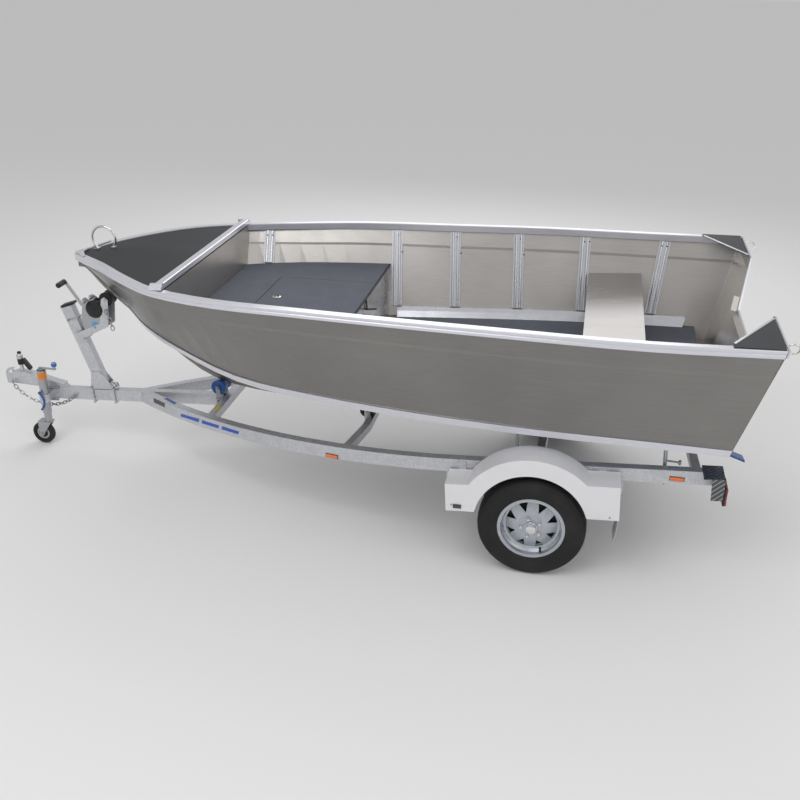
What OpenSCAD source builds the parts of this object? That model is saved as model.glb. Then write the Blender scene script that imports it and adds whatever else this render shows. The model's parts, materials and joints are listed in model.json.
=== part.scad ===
// Open aluminium fishing boat, about four metres long, parked on its galvanised single-axle trailer.
// +X points to the bow, +Y to port and +Z up. The ground is z = 0 and the middle of the length is x = 0.
// Trailer and boat are laid out level, with x = 0 over the axle, and then lean nose down as one rig.

/* [Stance] */
// Nose-down lean of trailer and boat on the jockey wheel, in degrees
rig_pitch = 4; // [2:0.5:6]

/* [Hull] */
// Length of the keel line, from the foot of the transom to the bow
hull_len = 3840; // [3600:10:4100]
// Half of the greatest beam over the gunwales
half_beam = 987; // [940:1:1040]
// Height of the stern, from keel to gunwale
hull_depth = 804; // [760:1:850]
// Height of the keel at the transom above the ground, before the rig leans
keel_base = 575; // [565:1:600]
// Backward lean of the transom, in degrees
transom_rake = 16.3; // [10:0.1:22]
// Thickness of the hull plates
plate_t = 3; // [2:0.5:5]
// Width of the gunwale extrusion
gunwale_w = 45; // [35:1:60]
// Height of the gunwale extrusion
gunwale_h = 40; // [30:1:50]
// Height of the chine extrusion up the side sheet
chine_h = 38; // [25:1:50]
// Width of the keel and stem bar
keel_w = 24; // [16:1:32]
// Depth of the keel and stem bar
keel_d = 18; // [12:1:25]

/* [Fit-out] */
// Width of a side rib over its flanges
rib_w = 70; // [50:1:90]
// Depth of a side rib
rib_d = 22; // [15:1:30]
// Places of the side ribs, forward of the axle
rib_at = [-619, -198, 210, 622, 1008, 1850];
// Height of the floor above the stern keel
floor_up = 287; // [260:1:330]
// Rise of the floor towards the bow, in degrees
floor_rise = 2.1; // [0:0.1:4]
// Thickness of floor and platform boards with their carpet
board_t = 15; // [9:1:20]
// Height of the platform above the stern keel, at its aft edge
platform_up = 652; // [600:1:700]
// Rise of the platform towards the bow, in degrees
platform_rise = 3.2; // [0:0.1:5]
// Aft edge of the casting platform, forward of the axle
platform_aft = 1050; // [1046:1:1150]
// Fore edge of the casting platform, where its bulkhead and the cross bar stand
platform_fore = 1975; // [1930:1:2000]
// Board kept between the hatch lid and the foredeck
hatch_strip = 305; // [150:5:500]
// Width of the hatch lid
hatch_w = 760; // [500:10:860]
// Gap round the hatch lid
hatch_gap = 5; // [3:1:8]
// Aft edge of the thwart, forward of the axle
thwart_aft = -580; // [-585:1:-500]
// Width of the thwart, fore and aft
thwart_w = 332; // [250:1:333]
// Height of the thwart above the stern keel
thwart_up = 575; // [500:1:620]

/* [Transom] */
// Width of the cut-out for the outboard at its foot
motor_cut_w = 560; // [400:5:640]
// Width of the cut-out at its top
motor_cut_top_w = 1000; // [800:5:1150]
// Depth of the cut-out below the gunwales
motor_cut_d = 245; // [150:5:300]
// Thickness of the motor board
motor_board_t = 35; // [25:1:45]

/* [Trailer frame] */
// Height of a frame tube
rhs_h = 76; // [60:1:90]
// Width of a frame tube
rhs_w = 50; // [40:1:60]
// Wall of a frame tube
rhs_t = 3; // [2:0.5:5]
// Height of the top of the frame above the ground, before the rig leans
frame_top = 604; // [590:1:615]
// Outer face of the side beams from the centre line
beam_out = 725; // [700:1:740]
// Where the side beams start to bend inwards
bend_at = 350; // [300:10:450]
// Where the side beams reach the drawbar
bend_to = 2570; // [2450:10:2650]
// Rear end of the side beams
beam_rear = -960; // [-1000:5:-900]
// Reach of the coupling past the bow
tow_reach = 690; // [600:10:800]

/* [Wheels] */
// Radius of the tyre
tyre_r = 290; // [280:1:300]
// Width of the tyre
tyre_w = 150; // [135:1:165]
// Radius of the rim's flange
rim_r = 180; // [165:1:185]
// Half of the track, to the middle of the tyres
half_track = 812; // [812:1:830]
// Radius of the jockey wheel
jockey_r = 76; // [60:1:90]
// Width of the jockey wheel
jockey_w = 40; // [30:1:50]
// Trail of the jockey wheel from its swivel
jockey_trail = 45; // [30:1:60]
// Radius of the keel rollers
roller_r = 38; // [30:1:45]
// Radius of the bow roller
bow_roller_r = 45; // [38:1:50]

/* [Coupling] */
// Radius of the socket for the tow ball
ball_r = 25.2; // [24:0.1:26]

/* [Hidden] */
hatch_len = platform_fore - platform_aft - hatch_strip;

$fn = 48;
fit = 0.3;
stern_s = -995;
bow_s = stern_s + hull_len;
alu = "#b4b2ae";
bright = "#cfcfd8";
galv = "#aeb3b8";
black = "#1c1d1f";
carpet = "#3f4349";

// Hull sections: along = share of the keel line, keel, chine and sheer rise = shares of the stern's depth,
// chine and sheer half-breadth = shares of half the beam.
//   along, keel rise, chine breadth, chine rise, sheer breadth, sheer rise
sections = [
    [0.000, 0.000, 0.810, 0.211, 0.984, 1.000],
    [0.129, 0.000, 0.819, 0.262, 1.000, 1.029],
    [0.259, 0.003, 0.806, 0.299, 0.984, 1.070],
    [0.415, 0.019, 0.762, 0.350, 0.943, 1.106],
    [0.572, 0.046, 0.699, 0.423, 0.893, 1.143],
    [0.689, 0.083, 0.598, 0.485, 0.826, 1.160],
    [0.793, 0.203, 0.438, 0.610, 0.709, 1.185],
    [0.858, 0.435, 0.294, 0.697, 0.552, 1.213],
    [0.915, 0.709, 0.061, 0.753, 0.360, 1.222],
    [0.962, 0.927, 0.008, 0.942, 0.198, 1.210],
    [0.988, 1.080, 0.009, 1.088, 0.091, 1.192],
    [1.000, 1.094, 0.009, 1.100, 0.036, 1.182]];
section_scale = [hull_len, hull_depth, half_beam, hull_depth, half_beam, hull_depth];
section_base = [stern_s, keel_base, 0, keel_base, 0, keel_base];
rake_run = 900;
steps = 3;

// Smooth curves through the sections
function lerp(a, b, t) = a + (b - a) * t;
function unit(v) = v / norm(v);
function raw(i, c) = section_base[c] + sections[i][c] * section_scale[c];
function slope(i, c) = let (a = max(i - 1, 0), b = min(i + 1, len(sections) - 1))
    (raw(b, c) - raw(a, c)) / (raw(b, 0) - raw(a, 0));
function hermite(p, q, m, n, t) =
    p * (2 * t^3 - 3 * t^2 + 1) + m * (t^3 - 2 * t^2 + t) + q * (3 * t^2 - 2 * t^3) + n * (t^3 - t^2);
function smooth(i, t, c) = let (h = raw(i + 1, 0) - raw(i, 0))
    hermite(raw(i, c), raw(i + 1, c), slope(i, c) * h, slope(i + 1, c) * h, t);
last = len(sections) - 1;
line_s = concat([for (i = [0:last - 1]) for (k = [0:steps - 1]) lerp(raw(i, 0), raw(i + 1, 0), k / steps)],
    [raw(last, 0)]);
function line(c) = concat([for (i = [0:last - 1]) for (k = [0:steps - 1])
    [lerp(raw(i, 0), raw(i + 1, 0), k / steps), smooth(i, k / steps, c)]], [[raw(last, 0), raw(last, c)]]);
keel_line = line(1);
chine_y_line = line(2);
chine_z_line = line(3);
sheer_y_line = line(4);
sheer_z_line = line(5);
function keel_z(s) = lookup(s, keel_line);
function sheer_z(s) = lookup(s, sheer_z_line);
function sheer_y(s) = lookup(s, sheer_y_line);
rake_z = raw(0, 3);

// Stations near the stern lean with the transom
function rake_at(s) = tan(transom_rake) * max(0, 1 - (s - stern_s) / rake_run);
function hull_x(s, z) = s - rake_at(s) * (z - rake_z);
function keel_p(s) = [hull_x(s, keel_z(s)), 0, keel_z(s)];
function chine_p(s) = let (z = lookup(s, chine_z_line)) [hull_x(s, z), lookup(s, chine_y_line), z];
function sheer_p(s) = [hull_x(s, sheer_z(s)), sheer_y(s), sheer_z(s)];
// Inward normal of the sheer line, seen from above
function plan_n(s) = let (a = max(s - 25, stern_s), b = min(s + 25, bow_s),
    v = unit([b - a, sheer_y(b) - sheer_y(a)])) [v.y, -v.x, 0];
// A point of the port gunwale, u inwards and w up from its outer top edge
function gunwale_p(s, u, w) = sheer_p(s) + plan_n(s) * u + [-rake_at(s) * w, 0, w];
// A point of the port side sheet, t from chine to gunwale and u inwards
sheet_in = 12;
seam = 0.8;
function side_p(s, t, u) =
    lerp(chine_p(s), gunwale_p(s, sheet_in, -gunwale_h - seam), t) + plan_n(s) * u;
function side_t(s, z) = let (a = chine_p(s).z, b = sheer_z(s) - gunwale_h - seam) (z - a) / (b - a);
// Half-breadth inside the side sheet at a height
function inside_y(s, z, u) = let (c = chine_p(s), k = keel_p(s))
    z > c.z + 6 ? side_p(s, side_t(s, z), u).y : c.y * (z - plate_t - 3 - k.z) / (c.z - k.z) - u;
// A point of the bottom sheet's outside, v inboard from the chine
function bottom_p(s, v) = let (c = chine_p(s), k = keel_p(s)) c + unit(k - c) * v;
function bottom_z(s, y) = let (c = chine_p(s), k = keel_p(s)) lerp(k.z, c.z, y / c.y);

// A skin over rings, each an outer row and then the inner row backwards. Both walls are cut along the
// same diagonals, so a twisted sheet keeps its thickness. A folded skin has one half mirror the other
module skin(rings, folded = false) {
    n = len(rings[0]);
    m = len(rings);
    half = n / 2;
    function quad(a, b, c, d) = [[a, b, c], [a, c, d]];
    function cross_quad(a, b, c, d) = [[a, b, d], [b, c, d]];
    sides = [for (j = [0:m - 2]) for (i = [0:n - 1])
        let (k = (i + 1) % n, p = [j * n + i, (j + 1) * n + i, (j + 1) * n + k, j * n + k],
            mirrored = folded && min(i, n - 2 - i) < (half - 1) / 2)
        each (i < half) != mirrored ? quad(p[0], p[1], p[2], p[3]) : cross_quad(p[0], p[1], p[2], p[3])];
    start = [for (i = [0:half - 2]) each quad(i, i + 1, n - 2 - i, n - 1 - i)];
    end = [for (i = [0:half - 2]) let (o = (m - 1) * n) each quad(o + n - 1 - i, o + n - 2 - i, o + i + 1, o + i)];
    polyhedron(points = [for (r = rings) each r], faces = concat(sides, start, end));
}
module both() {
    children();
    mirror([0, 1, 0]) children();
}
// Trailer and boat lean about the wheels' line on the ground
module rig() translate([-datum_x, 0, 0]) rotate([0, rig_pitch, 0]) children();
module level() translate([-datum_x, 0, 0]) children();
// Where a point of the level layout stands once the rig leans
function lean_x(x, z) = x * cos(rig_pitch) + z * sin(rig_pitch);
function lean_z(x, z) = z * cos(rig_pitch) - x * sin(rig_pitch);
// A plate outline in the XZ plane, given its width about the centre line
module side_on(w) rotate([90, 0, 0]) translate([0, 0, -w / 2]) linear_extrude(w) children();
module cyl_y(r, w) rotate([90, 0, 0]) cylinder(r = r, h = w, center = true);
// A hollow tube along X from the origin, centred in Y, its top at z = 0
module tube_x(l, w, h, t) translate([0, 0, -h]) difference() {
    translate([0, -w / 2, 0]) cube([l, w, h]);
    translate([-1, t - w / 2, t]) cube([l + 2, w - 2 * t, h - 2 * t]);
}

// Hull

module hull_bottom() rig() color(alu) skin([for (s = line_s)
    let (c = side_p(s, 0, plate_t + 0.4), k = keel_p(s), up = [0, 0, plate_t])
    [[c.x, -c.y, c.z], k, c, c + up, k + up, [c.x, -c.y, c.z + plate_t]]], true);

// The side sheet, with its pressed swage below the gunwale
swage_t = 0.80;
swage_step = 3.5;
swage_run = 0.03;
function rail_share(s) = min(0.5, chine_h / max(sheer_z(s) - chine_p(s).z, chine_h));
module side_sheet() skin([for (s = line_s) let (h = rail_share(s)) concat(
    [for (q = [[0, 0], [h, 0], [swage_t, 0], [swage_t + swage_run, swage_step], [1, swage_step]])
        side_p(s, q[0], q[1])],
    [for (q = [[1, swage_step], [swage_t + swage_run, swage_step], [swage_t, 0], [h, 0], [0, 0]])
        side_p(s, q[0], q[1] + plate_t)])]);
module hull_side_port() rig() color(alu) side_sheet();
module hull_side_starboard() rig() color(alu) mirror([0, 1, 0]) side_sheet();

chine_t = 6;
chine_in = 26;
chine_end = lerp(stern_s, bow_s, 0.915);
module chine_rails() rig() color(bright) both() skin([for (s = line_s) if (s <= chine_end + 1)
    let (c = chine_p(s), n = plan_n(s), b = bottom_p(s, chine_in), h = rail_share(s))
    [b - [0, 0, chine_t + seam], c - n * chine_t * 0.7 - [0, 0, chine_t + seam], side_p(s, h, -chine_t - seam),
        side_p(s, h, -seam), c - n * seam - [0, 0, seam], b - [0, 0, seam]]]);

module keel_bar() rig() color(alu) skin([for (s = line_s)
    let (k = keel_p(s), w = keel_w / 2, z = bottom_z(s, min(w, chine_p(s).y)) - seam - fit, a = w * 0.7)
    [[k.x, -a, k.z - keel_d], [k.x, a, k.z - keel_d], [k.x, w, k.z - keel_d * 0.6],
        [k.x, w, z], [k.x, 0, k.z - seam], [k.x, -w, z]]]);

gunwale_groove = 3;
module gunwales() rig() color(bright) both() {
    // inward, up
    outer = [[2, -40], [0, -37], [0, -25], [1, -22], [1, -18], [0, -15], [0, -4], [4, 0]];
    skin([for (s = line_s) concat(
        [for (q = outer) gunwale_p(s, q[0] == 1 ? gunwale_groove : q[0], q[1] * gunwale_h / 40)],
        [for (i = [7:-1:0]) gunwale_p(s, gunwale_w - (i == 7 ? 4 : 0), outer[i][1] * gunwale_h / 40)])]);
}

cap_h = 46;
cap_len = 150;
module bow_cap() rig() color(bright) {
    tip = gunwale_p(bow_s, 0, 0);
    foot = sheer_p(bow_s - cap_len);
    tilt = atan2(tip.z - foot.z, tip.x - foot.x);
    translate([tip.x, 0, tip.z + 1]) rotate([0, -tilt, 0]) difference() {
        linear_extrude(5) union() {
            translate([-20, 0]) circle(r = 34);
            polygon([[-20, 34], [-cap_len, foot.y - 8], [-cap_len, foot.y - 34], [-60, 22], [-60, -22],
                [-cap_len, 34 - foot.y], [-cap_len, 8 - foot.y], [-20, -34]]);
        }
        for (y = [-1, 1]) translate([-30, y * 14, 0]) cylinder(r = 8, h = 10);
    }
    translate([tip.x + fit, 0, tip.z - cap_h + 1]) difference() {
        cylinder(r = 16, h = cap_h + 2);
        translate([-40, -40, -1]) cube([40, 80, cap_h + 4]);
    }
}

// Foredeck sheet between the gunwales, just below their tops
deck_drop = 8;
module foredeck() rig() color("#3a3d42") skin([for (s = line_s) if (s >= platform_fore + 20 && s < bow_s - 20)
    let (p = gunwale_p(s, gunwale_w + fit, -deck_drop), q = [0, 0, plate_t])
    [[p.x, -p.y, p.z - plate_t], [p.x, 0, p.z - plate_t + 6], p - q, p, [p.x, 0, p.z + 6], [p.x, -p.y, p.z]]],
    true);

// Cross bar at the aft edge of the foredeck, two levels, with angled end caps
bar_w = 72;
bar_cap = 40;
bar_x = platform_fore + 27;
bar_half = sheer_y(bar_x) - 2;
module deck_beam() rig() color(bright) translate([bar_x, 0, sheer_z(bar_x) + 3]) {
    rotate([90, 0, 0]) translate([0, 0, -bar_half + bar_cap]) linear_extrude(2 * (bar_half - bar_cap))
        polygon([[-bar_w / 2, 0], [bar_w / 2, 0], [bar_w / 2, 12], [2, 16], [0, 30], [-bar_w / 2 + 4, 30],
            [-bar_w / 2, 26]]);
    both() translate([0, bar_half - bar_cap + fit, 0]) rotate([90, 0, 90]) translate([0, 0, -bar_w / 2])
        linear_extrude(bar_w) polygon([[0, 0], [0, 30], [12, 28], [bar_cap - 2, 4], [bar_cap - 2, 0]]);
}

module deck_bulkhead() rig() color(alu) {
    s = platform_fore + 4;
    low = platform_z(s) - 40;
    high = sheer_z(s) - gunwale_h - 4;
    y0 = inside_y(s, low, plate_t + swage_step + 5);
    y1 = inside_y(s, high, plate_t + swage_step + 5);
    y2 = sheer_y(s) - gunwale_w - 8;
    translate([platform_fore + fit, 0, 0]) rotate([90, 0, 90]) linear_extrude(plate_t)
        polygon([[-y0, low], [y0, low], [y1, high], [y2, high], [y2, high + gunwale_h - 6],
            [-y2, high + gunwale_h - 6], [-y2, high], [-y1, high]]);
}

ring_r = 76;
ring_rod = 7;
ring_at = bow_s - 200;
module bow_ring() rig() color("#d5d7da") {
    slope = atan((sheer_z(ring_at + 60) - sheer_z(ring_at - 60)) / 120);
    translate([ring_at, 0, sheer_z(ring_at) - deck_drop + 6 + seam]) rotate([0, -slope, 0]) {
        translate([0, 0, ring_r * 0.72 + 6]) rotate([90, 0, 0])
            rotate([0, 0, -46]) rotate_extrude(angle = 272) translate([ring_r, 0]) circle(r = ring_rod, $fn = 20);
        for (x = [-1, 1]) translate([x * ring_r * 0.7, 0, -2.3]) cylinder(r = 16, h = 9.3);
    }
}

// Transom, drawn in its own leaning plane: y across, then up along the plane from the chine's height
function up_plane(z) = (z - rake_z) / cos(transom_rake);
module on_transom(t) translate([stern_s, 0, rake_z]) rotate([0, -transom_rake, 0])
    rotate([90, 0, 90]) translate([0, 0, -t - fit]) linear_extrude(t) children();
top_z = sheer_z(stern_s);
cut_z = top_z - motor_cut_d;
module transom_outline(top) {
    c = chine_p(stern_s);
    g = sheer_p(stern_s);
    half = [[c.y, up_plane(c.z)], [g.y - sheet_in, up_plane(g.z - gunwale_h)], [g.y, up_plane(g.z - gunwale_h + 2)],
        [g.y, up_plane(top)], [motor_cut_top_w / 2, up_plane(top)], [motor_cut_w / 2, up_plane(cut_z + top - top_z)]];
    polygon(concat([[0, up_plane(keel_z(stern_s))]], half,
        [for (i = [len(half) - 1:-1:0]) [-half[i].x, half[i].y]]));
}
module transom() rig() color(alu) {
    on_transom(plate_t) transom_outline(top_z);
    translate([(motor_board_t + fit * 2) / cos(transom_rake), 0, 0]) on_transom(motor_board_t) intersection() {
        transom_outline(top_z - 1);
        translate([-motor_cut_w / 2 - 60, up_plane(cut_z) - 300]) square([motor_cut_w + 120, 600]);
    }
}

// Capping along the transom's top edge
cap_band = 34;
module transom_cap() rig() color(bright) translate([-(plate_t + fit) / cos(transom_rake), 0, 0])
    on_transom(9) intersection() {
        difference() {
            transom_outline(top_z);
            translate([0, -cap_band]) transom_outline(top_z);
        }
        translate([-half_beam, up_plane(cut_z) - cap_band]) square([2 * half_beam, 700]);
    }

corner_fore = 230;
corner_in = 430;
module corner_plates() rig() color("#565a60") both() {
    g = gunwale_p(stern_s, 0, 0);
    tilt = atan((sheer_z(stern_s + corner_fore) - top_z) / corner_fore);
    translate([g.x + 6, g.y - 4, top_z + 0.8]) rotate([0, -tilt, 0])
        linear_extrude(4) polygon([[0, 0], [corner_fore, 0], [corner_fore, -gunwale_w + 8], [0, -corner_in]]);
}

// Rings hanging at the transom's top corners, tilted out of the level
stern_ring_y = 0.87;
stern_ring_r = 29;
stern_ring_rod = 4.5;
stern_ring_tilt = 68;
stern_ring_out = 37.5;
stern_ring_z = top_z - 22;
stern_ring_x = hull_x(stern_s, stern_ring_z) - (plate_t + fit) / cos(transom_rake) - 9.5;
module stern_rings() rig() color("#d5d7da") both()
    translate([stern_ring_x, half_beam * stern_ring_y, stern_ring_z]) rotate([0, -transom_rake, 0]) {
        translate([-2.5, 0, 0]) rotate([0, -90, 0]) cylinder(r = 15, h = 4, center = true);
        translate([-stern_ring_out, 0, 0]) rotate([stern_ring_tilt, 0, 0])
            rotate_extrude() translate([stern_ring_r, 0]) circle(r = stern_ring_rod, $fn = 16);
    }

// Ribs stand on the inner rails, flat on the side sheets
rib_seat = plate_t + swage_step + 2.4;
rib_foot_up = 64;
module rib(s) {
    foot_z = (s > platform_aft ? platform_z(s) + 2 : floor_z(s) + rib_foot_up);
    t0 = side_t(s, foot_z);
    a = side_p(s, t0, rib_seat);
    b = side_p(s, 1, rib_seat);
    run = unit(side_p(s + 40, 0.6, 0) - side_p(s - 40, 0.6, 0));
    up = unit(b - a);
    out = unit(cross(up, run));
    fore = cross(out, up);
    multmatrix([[fore.x, out.x, up.x, a.x], [fore.y, out.y, up.y, a.y], [fore.z, out.z, up.z, a.z]])
        linear_extrude(norm(b - a) - 5 - rib_d * abs(out.z)) union() {
            translate([-rib_w / 2, -3]) square([rib_w, 3]);
            translate([-rib_w * 0.26, -rib_d * 0.6]) square([rib_w * 0.52, rib_d * 0.6 - 1]);
            for (x = [-1, 1]) translate([x * rib_w * 0.22, -rib_d + 8]) circle(r = 8, $fn = 24);
        }
}
module side_ribs() rig() color(bright) both() for (s = rib_at) rib(s);

function floor_z(s) = keel_base + floor_up + s * tan(floor_rise);
function platform_z(s) = keel_base + platform_up + (s - platform_aft) * tan(platform_rise);
rail_w = 38;
rail_h = 58;
floor_stern = -925;
module inner_rails() rig() color(alu) both() skin([for (s = line_s)
    if (s > floor_stern && s < platform_aft - 30)
    let (z = floor_z(s) + seam / 2, a = side_p(s, side_t(s, z), plate_t + seam), b = side_p(s, side_t(s, z + rail_h), plate_t + seam),
        n = plan_n(s))
    [a + n * rail_w * 0.8, a, b, b + n * rail_w * 0.5, b + n * rail_w - [0, 0, rail_h * 0.35], a + n * rail_w]]);

// A board cut to the hull's inside, at a height and slope
module board(aft, fore, rise, clear) {
    ss = concat([aft], [for (s = line_s) if (s > aft + 20 && s < fore - 20) s], [fore]);
    edge = [for (s = ss) [s, inside_y(s, rise == floor_rise ? floor_z(s) - board_t : platform_z(s) - board_t,
        plate_t + clear)]];
    polygon(concat(edge, [for (i = [len(edge) - 1:-1:0]) [edge[i].x, -edge[i].y]]));
}
module floor_board() rig() color(carpet) translate([0, 0, floor_z(0)]) rotate([0, -floor_rise, 0])
    translate([0, 0, -board_t]) linear_extrude(board_t) board(floor_stern, platform_aft + 60, floor_rise, 1.5);

module platform() rig() color(carpet) translate([platform_aft, 0, platform_z(platform_aft)])
    rotate([0, -platform_rise, 0]) translate([-platform_aft, 0, -board_t]) difference() {
        linear_extrude(board_t) board(platform_aft, platform_fore, platform_rise, 3.2);
        translate([platform_aft - 1, -hatch_w / 2 - hatch_gap, -1])
            cube([hatch_len + hatch_gap + 1, hatch_w + 2 * hatch_gap, board_t + 2]);
    }
module hatch_lid() rig() color(carpet) translate([platform_aft, 0, platform_z(platform_aft)])
    rotate([0, -platform_rise, 0]) {
        translate([0, -hatch_w / 2, -board_t]) cube([hatch_len, hatch_w, board_t]);
        translate([hatch_len - 90, 0, fit]) cylinder(r = 26, h = 3);
    }

module platform_bulkhead() rig() color(alu) {
    x = platform_aft + 12;
    low = floor_z(x) + 1;
    high = platform_z(x) - board_t - 1;
    y0 = inside_y(x, low, plate_t + 3);
    y1 = inside_y(x, high, plate_t + 3);
    translate([x, 0, 0]) rotate([90, 0, 90]) linear_extrude(plate_t)
        polygon([[-y0, low], [y0, low], [y1, high], [-y1, high]]);
}

// Thwart: a folded sheet with flanges down fore and aft and a bracket at each end
thwart_flange = 55;
module thwart() rig() color("#c9c5bf") {
    z = keel_base + thwart_up;
    fore = thwart_aft + thwart_w;
    y0 = inside_y(thwart_aft, z - plate_t, plate_t + 4.2);
    y1 = inside_y(fore, z - plate_t, plate_t + 4.2);
    y_low = min(inside_y(thwart_aft, z - thwart_flange, plate_t + 3), inside_y(fore, z - thwart_flange, plate_t + 3));
    difference() {
        translate([0, 0, z - thwart_flange]) linear_extrude(thwart_flange)
            polygon([[thwart_aft, -y0], [fore, -y1], [fore, y1], [thwart_aft, y0]]);
        translate([thwart_aft + plate_t, -half_beam, z - thwart_flange - 1])
            cube([thwart_w - 2 * plate_t, 2 * half_beam, thwart_flange + 1 - plate_t]);
        both() translate([thwart_aft - 1, y_low - 2, z - thwart_flange - 1]) cube([thwart_w + 2, 60, thwart_flange - 12]);
    }
}

// Trailer frame

beam_in = beam_out - rhs_w;
drawbar_front = bow_s + tow_reach - 300;
bend_run = bend_to - bend_at;
bend_drop = beam_out - rhs_w / 2;
bend_cut = 400;
bend_r = (bend_run^2 + bend_drop^2) / (2 * bend_drop);
bend_angle = asin(bend_run / bend_r);
// Outer face of the side beam at a place along the trailer
function beam_inner(x) = x < bend_at ? beam_in : beam_out - bend_r + sqrt((bend_r - rhs_w)^2 - (x - bend_at)^2);
member_1 = bend_to - 620;
member_2 = bend_at + 690;
member_3 = -40;
member_4 = -860;

module drawbar() rig() color(galv) translate([member_1 + rhs_w + fit, 0, frame_top])
    tube_x(drawbar_front - member_1 - rhs_w - fit, rhs_w, rhs_h, rhs_t);

module side_beam() {
    translate([beam_rear, beam_out - rhs_w / 2, frame_top]) tube_x(bend_at - beam_rear, rhs_w, rhs_h, rhs_t);
    difference() {
        translate([bend_at, beam_out - bend_r, frame_top - rhs_h]) rotate([0, 0, 90 - bend_angle - 2])
            rotate_extrude(angle = bend_angle + 2, $fn = 180) difference() {
                translate([bend_r - rhs_w, 0]) square([rhs_w, rhs_h]);
                translate([bend_r - rhs_w + rhs_t, rhs_t]) square([rhs_w - 2 * rhs_t, rhs_h - 2 * rhs_t]);
            }
        translate([bend_to - bend_cut, -bend_cut, frame_top - rhs_h - 1])
            cube([2 * bend_cut, bend_cut + rhs_w / 2 + fit, rhs_h + 2]);
    }
}
module side_beam_port() rig() color(galv) side_beam();
module side_beam_starboard() rig() color(galv) mirror([0, 1, 0]) side_beam();

// Cross members: the first is straight, the others dip under the keel
dip = 95;
module dipped(x, w, h) {
    half = beam_inner(x + w / 2) - fit;
    flat = 130;
    top = frame_top - 14;
    translate([x - w / 2, 0, 0]) rotate([90, 0, 90]) linear_extrude(w) polygon([
        [-half, top], [-flat, top - dip], [flat, top - dip], [half, top],
        [half, top - h], [flat, top - dip - h], [-flat, top - dip - h], [-half, top - h]]);
}
module cross_members() rig() color(galv) {
    half = beam_inner(member_1 + rhs_w) - fit;
    translate([member_1, -half, frame_top - 12 - 50]) difference() {
        cube([rhs_w, 2 * half, 50]);
        translate([rhs_t, -1, rhs_t]) cube([rhs_w - 2 * rhs_t, 2 * half + 2, 50 - 2 * rhs_t]);
    }
    for (x = [member_2, member_3, member_4]) dipped(x, 45, 45);
}

// Coupling: a mounting plate, a body sloping up from the drawbar and the socket for the ball
ball_x = bow_s + tow_reach - 40;
ball_z = frame_top + 62;
socket_r = 38;
neck_x = ball_x - 85;
neck_r = 13;
dome_up = 26;
module coupling() rig() color(galv) difference() {
    union() {
        translate([drawbar_front - 130, -32, frame_top + fit]) cube([150, 64, 8]);
        side_on(58) polygon([[drawbar_front - 120, frame_top + 8], [drawbar_front + 40, frame_top + 8],
            [ball_x - 25, ball_z - 34], [ball_x, ball_z + 20], [ball_x - 40, ball_z + 46],
            [ball_x - 120, ball_z + 44], [drawbar_front - 60, frame_top + 46], [drawbar_front - 120, frame_top + 30]]);
        translate([ball_x, 0, ball_z - 34]) cylinder(r = socket_r, h = 34 + dome_up);
        translate([ball_x, 0, ball_z + dome_up]) intersection() {
            sphere(r = socket_r);
            translate([-socket_r - 2, -socket_r - 2, 0]) cube([2 * socket_r + 4, 2 * socket_r + 4, 30]);
        }
        translate([neck_x, 0, ball_z + 30]) {
            cylinder(r = neck_r, h = 110);
            translate([0, 0, 102.5]) cylinder(r = neck_r + 8, h = 22);
            translate([0, 0, 124.5]) cylinder(r1 = neck_r + 8, r2 = neck_r - 2, h = 12);
        }
    }
    translate([ball_x, 0, ball_z]) sphere(r = ball_r);
    translate([ball_x, 0, ball_z - 40]) cylinder(r = ball_r, h = 40);
}

// The lever's collar turns on the coupling's neck, below its knob
module coupling_lever() rig() color(black) difference() {
    union() {
        translate([neck_x, 0, ball_z + 92]) cylinder(r = neck_r + 7, h = 40);
        side_on(22) polygon([[neck_x - 8, ball_z + 122], [neck_x - 30, ball_z + 134], [neck_x - 70, ball_z + 72],
            [neck_x - 70, ball_z + 58], [neck_x - 58, ball_z + 52], [neck_x - 46, ball_z + 62]]);
    }
    translate([neck_x, 0, ball_z + 30]) cylinder(r = neck_r + fit, h = 160);
}

// One link of chain along X: a six-sided rod swept round a stadium
link_l = 34;
link_w = 20;
link_rod = 3.5;
link_pitch = link_l - 2 * link_rod - 0.25;
module link() {
    r = link_w / 2;
    run = link_l / 2 - r;
    // centre of the rod and its outward direction
    path = [for (e = [1, -1]) for (k = [-2:2]) let (a = k * 45, d = [e * cos(a), e * sin(a)])
        [[e * run, 0] + d * r, d]];
    n = len(path);
    sides = 6;
    polyhedron(points = [for (q = path) for (j = [0:sides - 1]) let (a = j * 360 / sides)
        [q[0].x + q[1].x * link_rod * cos(a), q[0].y + q[1].y * link_rod * cos(a), link_rod * sin(a)]],
        faces = [for (i = [0:n - 1]) for (j = [0:sides - 1])
            let (u = (i + 1) % n, v = (j + 1) % sides,
                p = i * sides + j, q = u * sides + j, r2 = u * sides + v, s2 = i * sides + v)
            each [[p, r2, q], [p, s2, r2]]]);
}
// Chain from a to b in the XZ plane, hanging in a circular arc, its links turned by quarters
module chain(a, b, sag) {
    chord = norm(b - a);
    r = (chord^2 / 4 + sag^2) / (2 * sag);
    half = asin(chord / 2 / r);
    step = link_pitch / r * 180 / PI;
    tilt = atan2(b.z - a.z, b.x - a.x);
    mid = (a + b) / 2;
    translate(mid) rotate([0, -tilt, 0]) translate([0, 0, r - sag]) for (i = [0:2 * half / step]) {
        rotate([0, half - i * step, 0]) translate([0, 0, -r]) rotate([i % 2 == 0 ? 45 : -45, 0, 0]) link();
    }
}
module safety_chain() rig() color(galv) {
    start = [drawbar_front - 190, 52, frame_top - 52];
    translate([start.x, rhs_w / 2 + fit, start.z]) rotate([-90, 0, 0]) {
        cylinder(r = 13, h = 12);
        cylinder(r = 3.1, h = 42);
    }
    chain(start, [ball_x - 30, 52, ball_z - 30], 95);
}

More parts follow.
